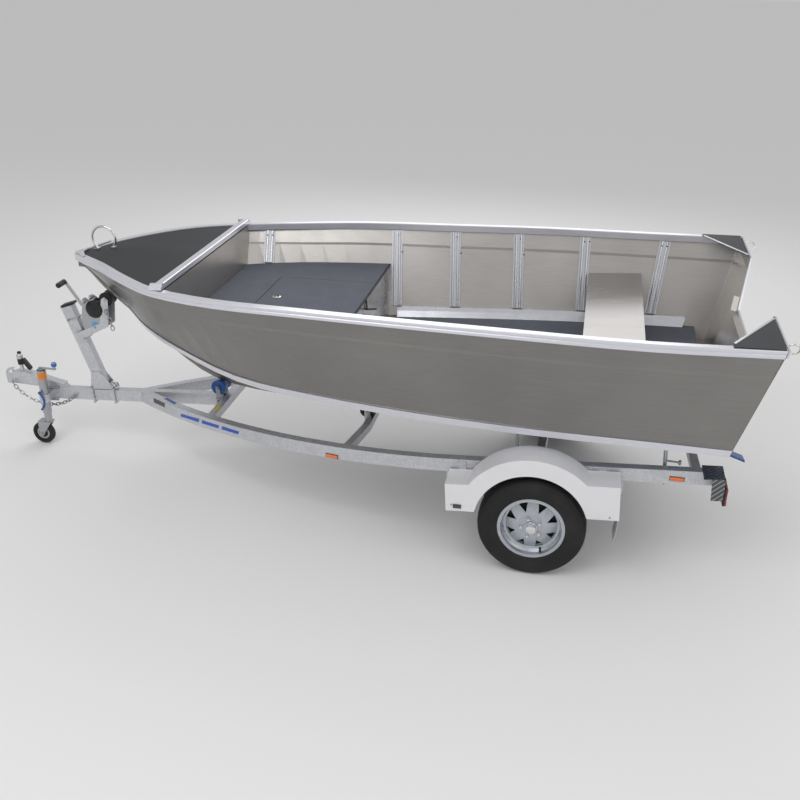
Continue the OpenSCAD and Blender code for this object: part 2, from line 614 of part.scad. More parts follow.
// Jockey wheel on the port side of the drawbar, upright on the ground
jack_rig_x = bow_s + 377;
jack_y = 91;
jack_x = lean_x(jack_rig_x, frame_top);
clamp_z = lean_z(jack_rig_x, frame_top - rhs_h / 2);
jack_outer_r = 28.5;
jack_inner_r = 24;
jack_top = clamp_z + 190;
jack_foot = clamp_z - 110;
module jack_clamp() {
    rig() color(galv) translate([jack_rig_x - 55, rhs_w / 2 + fit, frame_top - rhs_h - 12])
        cube([110, 10, rhs_h + 10]);
    level() color(galv) translate([jack_x, jack_y, clamp_z]) difference() {
        union() {
            cylinder(r = jack_outer_r + 7, h = 56, center = true);
            translate([-22, rhs_w / 2 + 10.6 - jack_y, -24]) cube([44, jack_y - rhs_w / 2 - 10.6, 48]);
        }
        cylinder(r = jack_outer_r + fit, h = 80, center = true);
    }
}
module jack_tube() level() color(galv) translate([jack_x, jack_y, 0]) {
    difference() {
        translate([0, 0, jack_foot]) cylinder(r = jack_outer_r, h = jack_top - jack_foot);
        translate([0, 0, jack_foot - 1]) cylinder(r = jack_inner_r + fit, h = jack_top - jack_foot - 8);
    }
    translate([0, 0, jack_top + fit]) cylinder(r = 20, h = 14);
    translate([-105, -8, jack_top + 14 + 2 * fit]) cube([120, 16, 8]);
    translate([-96, 0, jack_top + 22 + 3 * fit]) cylinder(r = 7, h = 14);
    translate([-96, 0, jack_top + 36 + 4 * fit]) cylinder(r = 15, h = 26);
}
// The leg swivels in the tube; its fork carries the wheel ahead of it
jockey_gap = 6;
module jack_fork() level() color(galv) translate([jack_x, jack_y, 0]) {
    top = jack_foot + 150;
    crown = jockey_r * 2 + 8 + jockey_gap;
    difference() {
        translate([0, 0, crown]) cylinder(r = jack_inner_r, h = top - crown);
        translate([0, 0, crown + 10]) cylinder(r = jack_inner_r - 4, h = top - crown);
    }
    translate([-26, -jockey_w / 2 - 9, crown - 8]) cube([jockey_trail + 46, jockey_w + 18, 8]);
    for (y = [-1, 1]) translate([0, y * (jockey_w / 2 + 6.5), 0]) rotate([90, 0, 0])
        translate([0, 0, -2.5]) linear_extrude(5) difference() {
            union() {
                polygon([[-26, crown - 4], [jockey_trail + 20, crown - 4], [jockey_trail + 17, jockey_r],
                    [jockey_trail - 17, jockey_r]]);
                translate([jockey_trail, jockey_r]) circle(r = 17);
            }
            translate([jockey_trail, jockey_r]) circle(r = 6.3);
        }
    translate([jockey_trail, 0, jockey_r]) cyl_y(6, jockey_w + 30);
}
module jack_wheel() level() color(black) translate([jack_x + jockey_trail, jack_y, jockey_r]) rotate([90, 0, 0])
    rotate_extrude($fn = 72) polygon([[6.3, -jockey_w / 2], [20, -jockey_w / 2], [20, -jockey_w / 2 + 6],
        [jockey_r - 24, -jockey_w / 2 + 8], [jockey_r - 22, -jockey_w / 2 + 3], [jockey_r - 7, -jockey_w / 2 + 2],
        [jockey_r, -jockey_w / 2 + 10], [jockey_r, jockey_w / 2 - 10], [jockey_r - 7, jockey_w / 2 - 2],
        [jockey_r - 22, jockey_w / 2 - 3], [jockey_r - 24, jockey_w / 2 - 8], [20, jockey_w / 2 - 6],
        [20, jockey_w / 2], [6.3, jockey_w / 2]]);

// Bow roller against the stem, and the winch post placed from it
roller_s = bow_s - 193;
stem_v = unit([60, 0, keel_z(roller_s + 30) - keel_z(roller_s - 30)]);
stem_n = [stem_v.z, 0, -stem_v.x];
bow_roller_c = keel_p(roller_s) + stem_n * (keel_d * abs(stem_n.z) + bow_roller_r + 1.5);
bow_roller_w = 78;
module bow_roller() rig() color(black) translate(bow_roller_c) rotate([90, 0, 0]) rotate_extrude($fn = 72)
    polygon([[7.3, -bow_roller_w / 2], [bow_roller_r - 6, -bow_roller_w / 2], [bow_roller_r, -bow_roller_w / 2 + 6],
        [bow_roller_r - 5, 0], [bow_roller_r, bow_roller_w / 2 - 6], [bow_roller_r - 6, bow_roller_w / 2],
        [7.3, bow_roller_w / 2]]);

post_lean = 15.4;
post_w = 76;
post_foot_x = bow_roller_c.x + 135;
post_len = 580;
module winch_post() rig() color(galv) translate([post_foot_x, 0, frame_top + 8 + fit]) {
    rotate([0, post_lean, 0]) difference() {
        translate([-post_w / 2, -rhs_w / 2, 20]) cube([post_w, rhs_w, post_len - 20]);
        translate([-post_w / 2 + rhs_t, -rhs_w / 2 + rhs_t, 30]) cube([post_w - 2 * rhs_t, rhs_w - 2 * rhs_t, post_len]);
    }
    rotate([0, post_lean, 0]) translate([-post_w / 2 - 2, -rhs_w / 2 - 2, post_len + fit])
        cube([post_w + 4, rhs_w + 4, 12]);
    translate([-85, -rhs_w / 2 - 6, -1.2]) cube([180, rhs_w + 12, 7.2]);
    for (y = [-1, 1]) translate([0, y * (rhs_w / 2 + 3.3), 0]) side_on(5)
        polygon([[-78, 6], [88, 6], [80, 40], [66, 120], [4, 120], [-50, 40]]);
    for (x = [-70, 80]) for (y = [-1, 1]) translate([x, y * (rhs_w / 2 + 6.5), -rhs_h - 20])
        cylinder(r = 5, h = rhs_h + 45);
    for (x = [-70, 80]) translate([x - 5, -rhs_w / 2 - 12, -rhs_h - 26]) cube([10, rhs_w + 24, 8]);
}

// Bracket from the post aft and up to the bow roller, two side plates joined by cross plates
arm_half = bow_roller_w / 2 + 5;
module winch_arm() rig() color(galv) {
    c = bow_roller_c;
    for (y = [-1, 1]) translate([0, y * (arm_half + 2.5), 0]) difference() {
        side_on(5) polygon([[c.x + 250, c.z - 285], [c.x + 262, c.z - 235], [c.x + 60, c.z - 155],
            [c.x + 24, c.z + 4], [c.x, c.z + 20], [c.x - 22, c.z], [c.x + 8, c.z - 176]]);
        translate(c) cyl_y(7.3, 20);
    }
    translate(c) cyl_y(7, 2 * arm_half + 26);
    translate([c.x - 4, arm_half + 3, c.z - 75]) rotate([-90, 0, 0]) cylinder(r = 3.1, h = 26);
    translate([c.x + 95, -arm_half, c.z - 208]) rotate([0, 21.5, 0]) cube([100, 2 * arm_half, 5]);
    translate([c.x + 205, 0, c.z - 255]) rotate([0, post_lean, 0])
        for (y = [-1, 1]) translate([0, y * (rhs_w / 2 + (arm_half - rhs_w / 2) / 2 + 0.3), 0])
            cube([40, arm_half - rhs_w / 2 - 0.6, 40], center = true);
}

drum_c = bow_roller_c + [82, 0, -62];
drum_r = 52;
crank_off = [58, 0, 48];
crank_lean = 30;
crank_y = 80;
crank_t = 6;
grip_end = 169;
gear_at = 28;
gear_t = 7;
module winch_frame() rig() color(galv) {
    for (y = [-1, 1]) translate([0, y * (arm_half - 2 - fit), 0]) difference() {
        side_on(4) polygon([[drum_c.x - 50, drum_c.z - 128], [drum_c.x + 95, drum_c.z - 150],
            [drum_c.x + 100, drum_c.z - 60], [drum_c.x + 72, drum_c.z + 62], [drum_c.x + 40, drum_c.z + 70],
            [drum_c.x - 24, drum_c.z + 22]]);
        translate(drum_c) cyl_y(9.3, 20);
        translate(drum_c + crank_off) cyl_y(8.3, 20);
    }
    translate([drum_c.x - 45, 1 - arm_half, drum_c.z - 128]) rotate([0, 8.6, 0]) cube([135, 2 * arm_half - 2, 5]);
}
module winch_drum() rig() color("#22282c") translate(drum_c) rotate([90, 0, 0]) {
    rotate_extrude($fn = 64) polygon([[0, -26], [drum_r, -26], [drum_r, -23], [38, -20], [38, 20], [drum_r, 23],
        [drum_r, 26], [0, 26]]);
    cylinder(r = 9, h = 94, center = true);
    translate([0, 0, -gear_at - gear_t]) cylinder(r = drum_r, h = gear_t);
}
// The pinion meshes with the drum's gear, both drawn as plain discs of their pitch radii
module winch_crank() rig() color("#c8cacc") translate(drum_c + crank_off) {
    translate([0, (crank_y + crank_t - 45) / 2, 0]) cyl_y(8, crank_y + crank_t + 45);
    translate([0, gear_at, 0]) rotate([-90, 0, 0]) cylinder(r = norm(crank_off) - drum_r - fit, h = gear_t);
    translate([0, crank_y, 0]) rotate([0, crank_lean, 0]) translate([-11, 0, -11]) cube([22, crank_t, 190]);
    translate([0, crank_y + crank_t, 0]) rotate([0, crank_lean, 0]) translate([0, 0, 168]) rotate([-90, 0, 0])
        cylinder(r = 15, h = grip_end - crank_y - crank_t);
}

snub_y = arm_half + 16;
module snub_chain() rig() color(galv) {
    c = bow_roller_c;
    chain([c.x - 4, snub_y, c.z - 75], [c.x - 30, snub_y, c.z - 200], 4);
}

// Axle, springs and wheels
axle_x = -tyre_r * sin(rig_pitch);
axle_z = tyre_r * cos(rig_pitch);
axle_bar = 40;
spring_y = beam_out - rhs_w / 2;
spring_half = 440;
spring_top = axle_z + axle_bar / 2 + 45;
hanger_drop = 75;
leaf_t = 6.5;
leaf_w = 45;
leaves = 4;
module axle() rig() color(galv) translate([axle_x, 0, axle_z]) {
    cube([axle_bar, 2 * (half_track - tyre_w / 2 - 6), axle_bar], center = true);
    both() translate([0, half_track - tyre_w / 2 - 6 + fit, 0]) rotate([-90, 0, 0]) {
        cylinder(r = 15, h = tyre_w / 2 + 30);
    }
}
// Leaves are arcs about one centre, the longest on top, whose ends meet the hangers' pins
spring_pin_z = frame_top - rhs_h - fit + 12 - hanger_drop;
leaf_rise = spring_pin_z + 2.3 - spring_top;
leaf_big = (spring_half^2 + leaf_rise^2) / (2 * leaf_rise);
module leaf(i) {
    a = asin((spring_half - 11 - i * 95) / leaf_big);
    translate([axle_x, spring_y, spring_top + leaf_big]) rotate([90, 0, 0]) translate([0, 0, -leaf_w / 2])
        rotate([0, 0, -90 - a]) rotate_extrude(angle = 2 * a, $fn = 180)
            translate([leaf_big + (i - 1) * (leaf_t + fit), 0]) square([leaf_t, leaf_w]);
}
module leaf_springs() rig() color("#6d7276") both() {
    for (i = [0:leaves - 1]) leaf(i);
    for (x = [-spring_half, spring_half]) translate([axle_x + x, spring_y, spring_pin_z]) difference() {
        cyl_y(15, leaf_w - 2);
        cyl_y(7 + fit, leaf_w + 2);
    }
    low = spring_top + (leaves - 1) * -(leaf_t + fit);
    translate([axle_x - 45, spring_y - 32, axle_z + axle_bar / 2 + fit])
        cube([90, 64, low - fit - 1 - axle_z - axle_bar / 2 - fit]);
    translate([axle_x - 45, spring_y - 32, spring_top + leaf_t + 2]) cube([90, 64, 8]);
    for (x = [-36, 36]) for (y = [-1, 1]) translate([axle_x + x, spring_y + y * 27.5, axle_z - axle_bar / 2 - 14])
        cylinder(r = 4, h = spring_top + leaf_t + 20 - axle_z + axle_bar / 2 + 14);
    translate([axle_x - 45, spring_y - 32, axle_z - axle_bar / 2 - 8 - fit]) cube([90, 64, 8]);
}
module spring_hangers() rig() color(galv) both()
    for (x = [axle_x - spring_half, axle_x + spring_half]) translate([x, spring_y, frame_top - rhs_h - fit]) {
        for (y = [-1, 1]) translate([-28, y * 26 - 2.5, -hanger_drop]) cube([56, 5, hanger_drop]);
        translate([-28, -23.4, -16]) cube([56, 46.8, 5]);
        translate([0, 0, 12 - hanger_drop]) cyl_y(7, 64);
    }

rim_half = 62;
// The rim, its dished disc pierced by eight windows, bolted to the hub
disc_out = 18;
module rim_one(side) translate([0, side * half_track, tyre_r]) rotate([0, 0, side > 0 ? 0 : 180]) {
    difference() {
        rotate([-90, 0, 0]) rotate_extrude($fn = 96) polygon([
            [rim_r - 17, -rim_half], [rim_r, -rim_half], [rim_r, -rim_half + 3], [rim_r - 10, -rim_half + 5],
            [rim_r - 14, -rim_half + 20], [rim_r - 26, -rim_half + 32], [rim_r - 26, rim_half - 44],
            [rim_r - 14, rim_half - 24], [rim_r - 10, rim_half - 5], [rim_r, rim_half - 3], [rim_r, rim_half],
            [rim_r - 17, rim_half], [rim_r - 18, rim_half - 26], [rim_r - 30, rim_half - 42],
            [rim_r - 42, disc_out - 2], [98, disc_out + 16], [76, disc_out + 22], [31, disc_out + 22],
            [31, disc_out + 17], [76, disc_out + 17], [96, disc_out + 11], [rim_r - 46, disc_out - 8],
            [rim_r - 31, disc_out - 12], [rim_r - 31, -rim_half + 32], [rim_r - 19, -rim_half + 18]]);
        for (i = [0:7]) rotate([0, i * 45 + 22.5, 0]) rotate([-90, 0, 0])
            linear_extrude(100) polygon([[88, 0], [rim_r - 46, 24], [rim_r - 42, 20], [rim_r - 42, -20], [rim_r - 46, -24]]);
    }
    // hub, dust cap and nuts
    rotate([-90, 0, 0]) {
        translate([0, 0, -20]) difference() {
            cylinder(r = 30.7, h = disc_out + 50);
            translate([0, 0, -1]) cylinder(r = 15.3, h = disc_out + 40);
        }
        translate([0, 0, -20]) difference() {
            cylinder(r = 66, h = 12);
            translate([0, 0, -1]) cylinder(r = 31, h = 14);
        }
        translate([0, 0, disc_out + 30 + fit]) cylinder(r1 = 27, r2 = 22, h = 26);
        for (i = [0:4]) rotate([0, 0, i * 72]) translate([54, 0, disc_out + 22 + fit]) cylinder(r = 10, h = 17, $fn = 6);
    }
}
module rim_port() level() color(galv) rim_one(1);
module rim_starboard() level() color(galv) rim_one(-1);

module tyre(side) translate([0, side * half_track, tyre_r]) rotate([90, 0, 0]) rotate_extrude($fn = 120)
    difference() {
        polygon([[rim_r + fit, -tyre_w / 2 + 14], [rim_r + 14, -tyre_w / 2 + 6], [rim_r + 45, -tyre_w / 2],
            [tyre_r - 38, -tyre_w / 2 + 3], [tyre_r - 12, -tyre_w / 2 + 14], [tyre_r - 3, -tyre_w / 2 + 26],
            [tyre_r, -tyre_w / 2 + 44], [tyre_r, tyre_w / 2 - 44], [tyre_r - 3, tyre_w / 2 - 26],
            [tyre_r - 12, tyre_w / 2 - 14], [tyre_r - 38, tyre_w / 2 - 3], [rim_r + 45, tyre_w / 2],
            [rim_r + 14, tyre_w / 2 - 6], [rim_r + fit, tyre_w / 2 - 14]]);
        for (y = [-26, 0, 26]) translate([tyre_r - 6, y - 3]) square([10, 6]);
    }
module tyre_port() level() color(black) tyre(1);
module tyre_starboard() level() color(black) tyre(-1);

// Mudguards: a rounded arch with a wing before and behind it, open inside and below
guard_in = beam_out + 9;
guard_out = half_track + tyre_w / 2 + 16;
guard_c = [axle_x + 5, axle_z + 30];
guard_r = 395;
lip_r = 302;
guard_t = 4;
wing_fore = 430;
wing_aft = -475;
wing_foot = axle_z + 100;
wing_top_f = axle_z + 262;
wing_top_a = axle_z + 295;
module guard_outline(inset) intersection() {
    union() {
        translate(guard_c) circle(r = guard_r - inset, $fn = 96);
        translate([0, wing_foot]) square([wing_fore - inset, wing_top_f - wing_foot - inset]);
        translate([wing_aft + inset, wing_foot]) square([-wing_aft, wing_top_a - wing_foot - inset]);
    }
    translate([wing_aft, wing_foot]) square([wing_fore - wing_aft, 2 * guard_r]);
}
module mudguard() {
    w = guard_out - guard_in;
    translate([0, guard_in + w / 2, 0]) difference() {
        side_on(w) guard_outline(0);
        translate([0, -guard_t / 2 - 0.5, 0]) side_on(w - guard_t + 1) guard_outline(guard_t);
        translate([guard_c.x, 0, guard_c.y]) cyl_y(lip_r, w + 2);
        translate([0, -guard_t, 0]) side_on(w) translate([wing_aft + guard_t, wing_foot - 1])
            square([wing_fore - wing_aft - 2 * guard_t, guard_t + 2]);
    }
}
module mudguards() rig() color("#ececea") both() mudguard();
module guard_brackets() rig() color(galv) both() for (x = [wing_fore - 90, wing_aft + 70])
    translate([x, beam_out + fit, frame_top - rhs_h]) cube([40, guard_in - beam_out - 2 * fit, rhs_h - 10]);
module mud_flaps() rig() color("#b9bab8") both() translate([wing_aft + guard_t + fit, (guard_in + guard_out) / 2, 0])
    side_on(guard_out - guard_in - 2 * guard_t - 6) polygon([[0, wing_foot + 70], [0, wing_foot - 30],
        [8, wing_foot - 90], [22, wing_foot - 140], [26, wing_foot - 139], [13, wing_foot - 89], [5, wing_foot - 30],
        [5, wing_foot + 70]]);

// Skids under the bottom sheet, on posts clamped to the side beams
skid_inset = 357;
skid_y = half_beam - skid_inset;
skid_w = 100;
skid_t = 12;
skid_fore = 300;
skid_aft = -940;
skid_ss = concat([skid_aft], [for (s = line_s) if (s > skid_aft + 30 && s < skid_fore - 30) s], [skid_fore]);
function skid_p(s, y, d) = [s, y, bottom_z(s, y) - 1.6 * seam - d];
module bunk_skids() rig() color("#1f4fa0") both() {
    a = skid_y - skid_w / 2;
    b = skid_y + skid_w / 2;
    tail = [-150, 0, -62];
    top = [for (s = skid_ss) [skid_p(s, a, skid_t), skid_p(s, b, skid_t), skid_p(s, b, 0), skid_p(s, a, 0)]];
    skin(concat([[for (p = top[0]) p + tail]], top));
}
post_at = [70, -700];
module bunk_posts() rig() color(galv) both() for (x = post_at) {
    deadrise = atan2(bottom_z(x, skid_y + 50) - bottom_z(x, skid_y - 50), 100);
    translate([x, skid_y, bottom_z(x, skid_y) - skid_t - 2]) rotate([deadrise, 0, 0])
        translate([-20, -38, -8]) cube([40, 76, 6]);
    translate([x, skid_y + 20, frame_top - rhs_h])
        cylinder(r = 10, h = bottom_z(x, skid_y + 20) - skid_t - 7 - frame_top + rhs_h);
    translate([x - 25, skid_y + 2, frame_top - rhs_h + 10]) cube([50, beam_in - skid_y - 2.6, 12]);
}

// Keel rollers turn on pins between brackets that stand on the cross members
roller_w = 110;
module roller() rotate([90, 0, 0]) rotate_extrude($fn = 64) polygon([[8.3, -roller_w / 2],
    [roller_r + 10, -roller_w / 2], [roller_r + 10, -roller_w / 2 + 10], [roller_r, -18], [roller_r, 18],
    [roller_r + 10, roller_w / 2 - 10], [roller_r + 10, roller_w / 2], [8.3, roller_w / 2]]);
function roller_z(x) = keel_z(x) - keel_d - roller_r - 0.5;
roller_1 = member_1 + rhs_w + 12;
roller_2 = member_2 + 10;
module keel_roller_fore() rig() color("#1f4fa0") translate([roller_1, 0, roller_z(roller_1 - 12)]) roller();
module keel_roller_mid() rig() color(black) translate([roller_2, 0, roller_z(roller_2)]) roller();
module roller_bracket(x, z, foot, aft) {
    for (y = [-1, 1]) translate([x, y * (roller_w / 2 + 6), 0]) difference() {
        side_on(6) polygon([[-aft, foot], [22, foot], [16, z + 12], [-min(aft, 16), z + 12]]);
        translate([0, 0, z]) cyl_y(8.3, 20);
    }
    translate([x, 0, z]) cyl_y(8, roller_w + 36);
}
module roller_brackets() rig() color(galv) {
    roller_bracket(roller_1, roller_z(roller_1 - 12), frame_top - 120, 12 - fit);
    roller_bracket(roller_2, roller_z(roller_2), frame_top - 14 - dip + fit, 22);
}

// Steps of checker plate on the beam ends, with a hood over each lamp
step_l = 105;
step_w = 150;
step_fore = 75;
lamp_t = 14;
lamp_h = 100;
module rear_steps() rig() color("#9aa0a4") both() translate([beam_rear, beam_out - rhs_w, frame_top]) {
    translate([step_fore - step_l, -20, fit]) cube([step_l, step_w, 4]);
    translate([step_fore - step_l, -20, -70]) cube([4, step_w, 70]);
    translate([step_fore - step_l + 4, step_w - 24, -120]) cube([60, 4, 120]);
}
module tail_lamps() rig() color("#7a1216") both()
    translate([beam_rear + step_fore - step_l - lamp_t - fit, beam_out - rhs_w - 15, frame_top - 50 - lamp_h])
        cube([lamp_t, step_w - 10, lamp_h]);

// The part's box runs from the coupling's dome to the stern rings, and x = 0 is its middle
front_reach = lean_x(ball_x, ball_z + dome_up) + socket_r;
ring_slope = transom_rake - rig_pitch;
rear_reach = lean_x(stern_ring_x, stern_ring_z) - stern_ring_out * cos(ring_slope)
    - stern_ring_r * sqrt(1 - (cos(stern_ring_tilt) * sin(ring_slope))^2) - stern_ring_rod;
datum_x = (front_reach + rear_reach) / 2;

hull_bottom();
hull_side_port();
hull_side_starboard();
chine_rails();
keel_bar();
gunwales();
bow_cap();
foredeck();
deck_beam();
deck_bulkhead();
bow_ring();
transom();
transom_cap();
corner_plates();
stern_rings();
side_ribs();
inner_rails();
floor_board();
platform();
platform_bulkhead();
hatch_lid();
thwart();
drawbar();
side_beam_port();
side_beam_starboard();
cross_members();
coupling();
coupling_lever();
safety_chain();
jack_clamp();
jack_tube();
jack_fork();
jack_wheel();
winch_post();
winch_arm();
winch_frame();
winch_drum();
winch_crank();
bow_roller();
snub_chain();
axle();
leaf_springs();
spring_hangers();
rim_port();
rim_starboard();
tyre_port();
tyre_starboard();
mudguards();
guard_brackets();
mud_flaps();
bunk_posts();
bunk_skids();
keel_roller_fore();
keel_roller_mid();
roller_brackets();
rear_steps();
tail_lamps();
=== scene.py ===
"""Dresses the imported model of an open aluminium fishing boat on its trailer.

The CAD nodes stay as they are and get procedural finishes.  Smaller pieces that the
photograph shows, such as bolts, labels, lamps, the hatch's fittings and the wheels'
trim, are made here with bmesh and ride on the bodies that carry them.
"""

import json
import logging
import math
from collections.abc import Callable, Iterable, Sequence
from dataclasses import dataclass, field
from enum import Enum

import bmesh
import bpy
from mathutils import Matrix, Vector
from mathutils.bvhtree import BVHTree


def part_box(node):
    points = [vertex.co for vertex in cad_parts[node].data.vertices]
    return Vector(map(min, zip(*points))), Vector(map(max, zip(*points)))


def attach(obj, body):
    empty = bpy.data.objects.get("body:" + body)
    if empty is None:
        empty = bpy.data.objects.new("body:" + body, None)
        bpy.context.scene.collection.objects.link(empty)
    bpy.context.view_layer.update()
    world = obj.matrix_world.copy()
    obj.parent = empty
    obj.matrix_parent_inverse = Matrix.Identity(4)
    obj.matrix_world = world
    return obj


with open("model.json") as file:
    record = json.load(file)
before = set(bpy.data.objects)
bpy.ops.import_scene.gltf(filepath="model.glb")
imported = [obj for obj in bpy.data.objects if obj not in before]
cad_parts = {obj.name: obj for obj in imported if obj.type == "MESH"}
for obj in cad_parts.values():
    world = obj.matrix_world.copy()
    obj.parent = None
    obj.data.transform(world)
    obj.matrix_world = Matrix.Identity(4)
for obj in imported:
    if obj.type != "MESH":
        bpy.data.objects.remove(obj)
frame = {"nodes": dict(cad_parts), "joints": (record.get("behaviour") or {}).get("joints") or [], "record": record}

log = logging.getLogger("boat")
MM = 0.001
Point = Vector | tuple[float, float, float]
Colour = tuple[float, float, float]
PHOTO_SIZE = 800
UP = Vector((0, 0, 1))
DOWN = Vector((0, 0, -1))
FORWARD = Vector((1, 0, 0))


def joint(name: str) -> dict:
    """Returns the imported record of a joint."""
    return next(j for j in frame["joints"] if j["name"] == name)


def joint_place(name: str) -> Vector:
    """Returns where a joint lies in the part's frame, in mm."""
    return Vector(joint(name)["pos_m"]) / MM


# Places


@dataclass(frozen=True)
class Layout:
    """The level layout of boat and trailer, which leans nose down as one rig.

    Attributes:
        datum: Distance in mm from the wheels' ground line to the part's middle.
        pitch: Nose-down lean in radians.
    """

    datum: float
    pitch: float

    @classmethod
    def from_record(cls, record: dict) -> "Layout":
        """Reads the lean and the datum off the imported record.

        Args:
            record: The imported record.

        Returns:
            The layout that part.scad used.
        """
        socket = next(m for m in record["mounts"] if m["name"] == "ball_socket")
        return cls(-joint("wheel_port_spin")["pos_m"][0] / MM, math.asin(-socket["axis"][0]))

    def matrix(self) -> Matrix:
        """Returns the transform from the level layout to the part's frame, both in mm."""
        return Matrix.Translation((-self.datum, 0, 0)) @ Matrix.Rotation(self.pitch, 4, "Y")

    def lean(self) -> Matrix:
        """Returns the rotation part of that transform."""
        return self.matrix().to_3x3()


class Skin:
    """The surface of a CAD node, for seating pieces on it."""

    def __init__(self, node: str) -> None:
        mesh = frame["nodes"][node].data
        self.tree = BVHTree.FromPolygons(
            [v.co.copy() for v in mesh.vertices], [tuple(p.vertices) for p in mesh.polygons]
        )

    def hit(self, start: Vector, way: Vector) -> tuple[Vector, Vector] | None:
        """Casts a ray at the node.

        Args:
            start: Where the ray starts, in metres.
            way: Its direction.

        Returns:
            The first point met and the surface's normal there, or None.
        """
        place, normal, _, _ = self.tree.ray_cast(start, way.normalized())
        if place is None:
            return None
        return place, (normal if normal.dot(way) < 0 else -normal)


# Finishes


class Grain(Enum):
    """Kinds of surface structure, each named after the method of Shader that makes it."""

    BRUSHED = "long rolling streaks in metal"
    EXTRUDED = "fine streaks along an extrusion"
    SPANGLE = "zinc crystals"
    # The hull sheet's inner faces are painted brighter as painted light
    SHEET = "streaks in hull sheet, duller outside than inside"
    CARPET = "looped fibres"
    COATED = "non-slip coating"
    PAINTED = "sprayed paint"
    MOULDED = "moulded plastic, rubber or a printed label"
    TYRE = "tyre with tread and side ribs"
    POLISHED = "polished metal"
    LENS = "ribbed lens"
    CHECKER = "tread plate"


@dataclass(frozen=True)
class Finish:
    """A material's numbers.

    Attributes:
        colour: Linear base colour.
        grain: Kind of surface structure.
        rough: Mean roughness.
        metal: Metallic share.
        coat: Clear coat weight.
        vary: Share by which the colour wanders.
        relief: Strength of the bump.
        soil: Share of dust or stain, laid in random patches.
        inside: How much brighter the side that faces into the hull is painted, as painted light.
    """

    colour: Colour
    grain: Grain
    rough: float = 0.4
    metal: float = 0.0
    coat: float = 0.0
    vary: float = 0.08
    relief: float = 0.2
    soil: float = 0.0
    inside: float = 1.0


class Look(Enum):
    """The finishes of this rig."""

    # The hull sheet is painted brighter on its inner faces than outside, as painted light
    HULL = Finish((0.26, 0.25, 0.24), Grain.SHEET, 0.32, 0.88, vary=0.22, relief=0.05, inside=2.0)
    INNER = Finish((0.52, 0.51, 0.52), Grain.BRUSHED, 0.28, 0.90, vary=0.16, relief=0.05)
    BRIGHT = Finish((0.78, 0.78, 0.84), Grain.EXTRUDED, 0.30, 0.80, vary=0.05, relief=0.04)
    RIB = Finish((0.66, 0.67, 0.71), Grain.EXTRUDED, 0.26, 0.9, vary=0.07, relief=0.04)
    THWART = Finish((0.42, 0.405, 0.395), Grain.BRUSHED, 0.24, 0.95, vary=0.16, relief=0.04)
    RIM = Finish((0.50, 0.53, 0.57), Grain.SPANGLE, 0.36, 0.8, vary=0.10, relief=0.10)
    CHECKER = Finish((0.11, 0.115, 0.12), Grain.CHECKER, 0.34, 0.85, vary=0.10, relief=0.6)
    STAINLESS = Finish((0.72, 0.72, 0.70), Grain.POLISHED, 0.12, 1.0, vary=0.04)
    DECK = Finish((0.020, 0.022, 0.025), Grain.COATED, 0.60, 0.10, relief=0.25)
    TRIM = Finish((0.030, 0.033, 0.037), Grain.COATED, 0.52, 0.2, relief=0.15)
    CARPET = Finish((0.13, 0.14, 0.17), Grain.CARPET, 0.95, vary=0.25, relief=0.9)
    GALVANISED = Finish((0.60, 0.61, 0.64), Grain.SPANGLE, 0.42, 0.70, vary=0.14, relief=0.12)
    SPRING = Finish((0.16, 0.17, 0.18), Grain.SPANGLE, 0.5, 0.7, vary=0.2, relief=0.2, soil=0.2)
    ZINC = Finish((0.44, 0.45, 0.47), Grain.POLISHED, 0.28, 0.92, vary=0.08)
    CHROME = Finish((0.80, 0.80, 0.81), Grain.POLISHED, 0.08, 1.0, vary=0.03)
    WHITE = Finish((0.80, 0.80, 0.82), Grain.PAINTED, 0.30, coat=0.5, vary=0.03, relief=0.06, soil=0.08)
    TYRE = Finish((0.007, 0.007, 0.008), Grain.TYRE, 0.75, vary=0.25, relief=0.5, soil=0.05)
    RUBBER = Finish((0.009, 0.009, 0.010), Grain.MOULDED, 0.65, vary=0.2, relief=0.3)
    FLAP = Finish((0.42, 0.43, 0.44), Grain.MOULDED, 0.5, vary=0.1, relief=0.2, soil=0.15)
    SHADOW = Finish((0.012, 0.012, 0.013), Grain.MOULDED, 0.7, 0.2, vary=0.2, relief=0.2)
    BLACK = Finish((0.008, 0.008, 0.009), Grain.MOULDED, 0.42, vary=0.1)
    BLUE = Finish((0.012, 0.090, 0.330), Grain.MOULDED, 0.38, coat=0.15, vary=0.12)
    KNOB = Finish((0.015, 0.140, 0.520), Grain.MOULDED, 0.32, coat=0.2, vary=0.08)
    ORANGE = Finish((0.780, 0.230, 0.010), Grain.MOULDED, 0.35, coat=0.3, vary=0.08)
    YELLOW = Finish((0.780, 0.560, 0.030), Grain.MOULDED, 0.35, coat=0.3, vary=0.05)
    SKY = Finish((0.080, 0.360, 0.640), Grain.MOULDED, 0.35, coat=0.3, vary=0.08)
    STRIPE = Finish((0.020, 0.080, 0.480), Grain.MOULDED, 0.3, coat=0.3, vary=0.04)
    LABEL = Finish((0.060, 0.060, 0.065), Grain.MOULDED, 0.4, coat=0.2, vary=0.2)
    RED_LENS = Finish((0.360, 0.010, 0.012), Grain.LENS, 0.12, coat=0.8, vary=0.1, relief=0.5)
    AMBER_LENS = Finish((0.900, 0.190, 0.040), Grain.LENS, 0.16, coat=0.7, vary=0.1, relief=0.5)


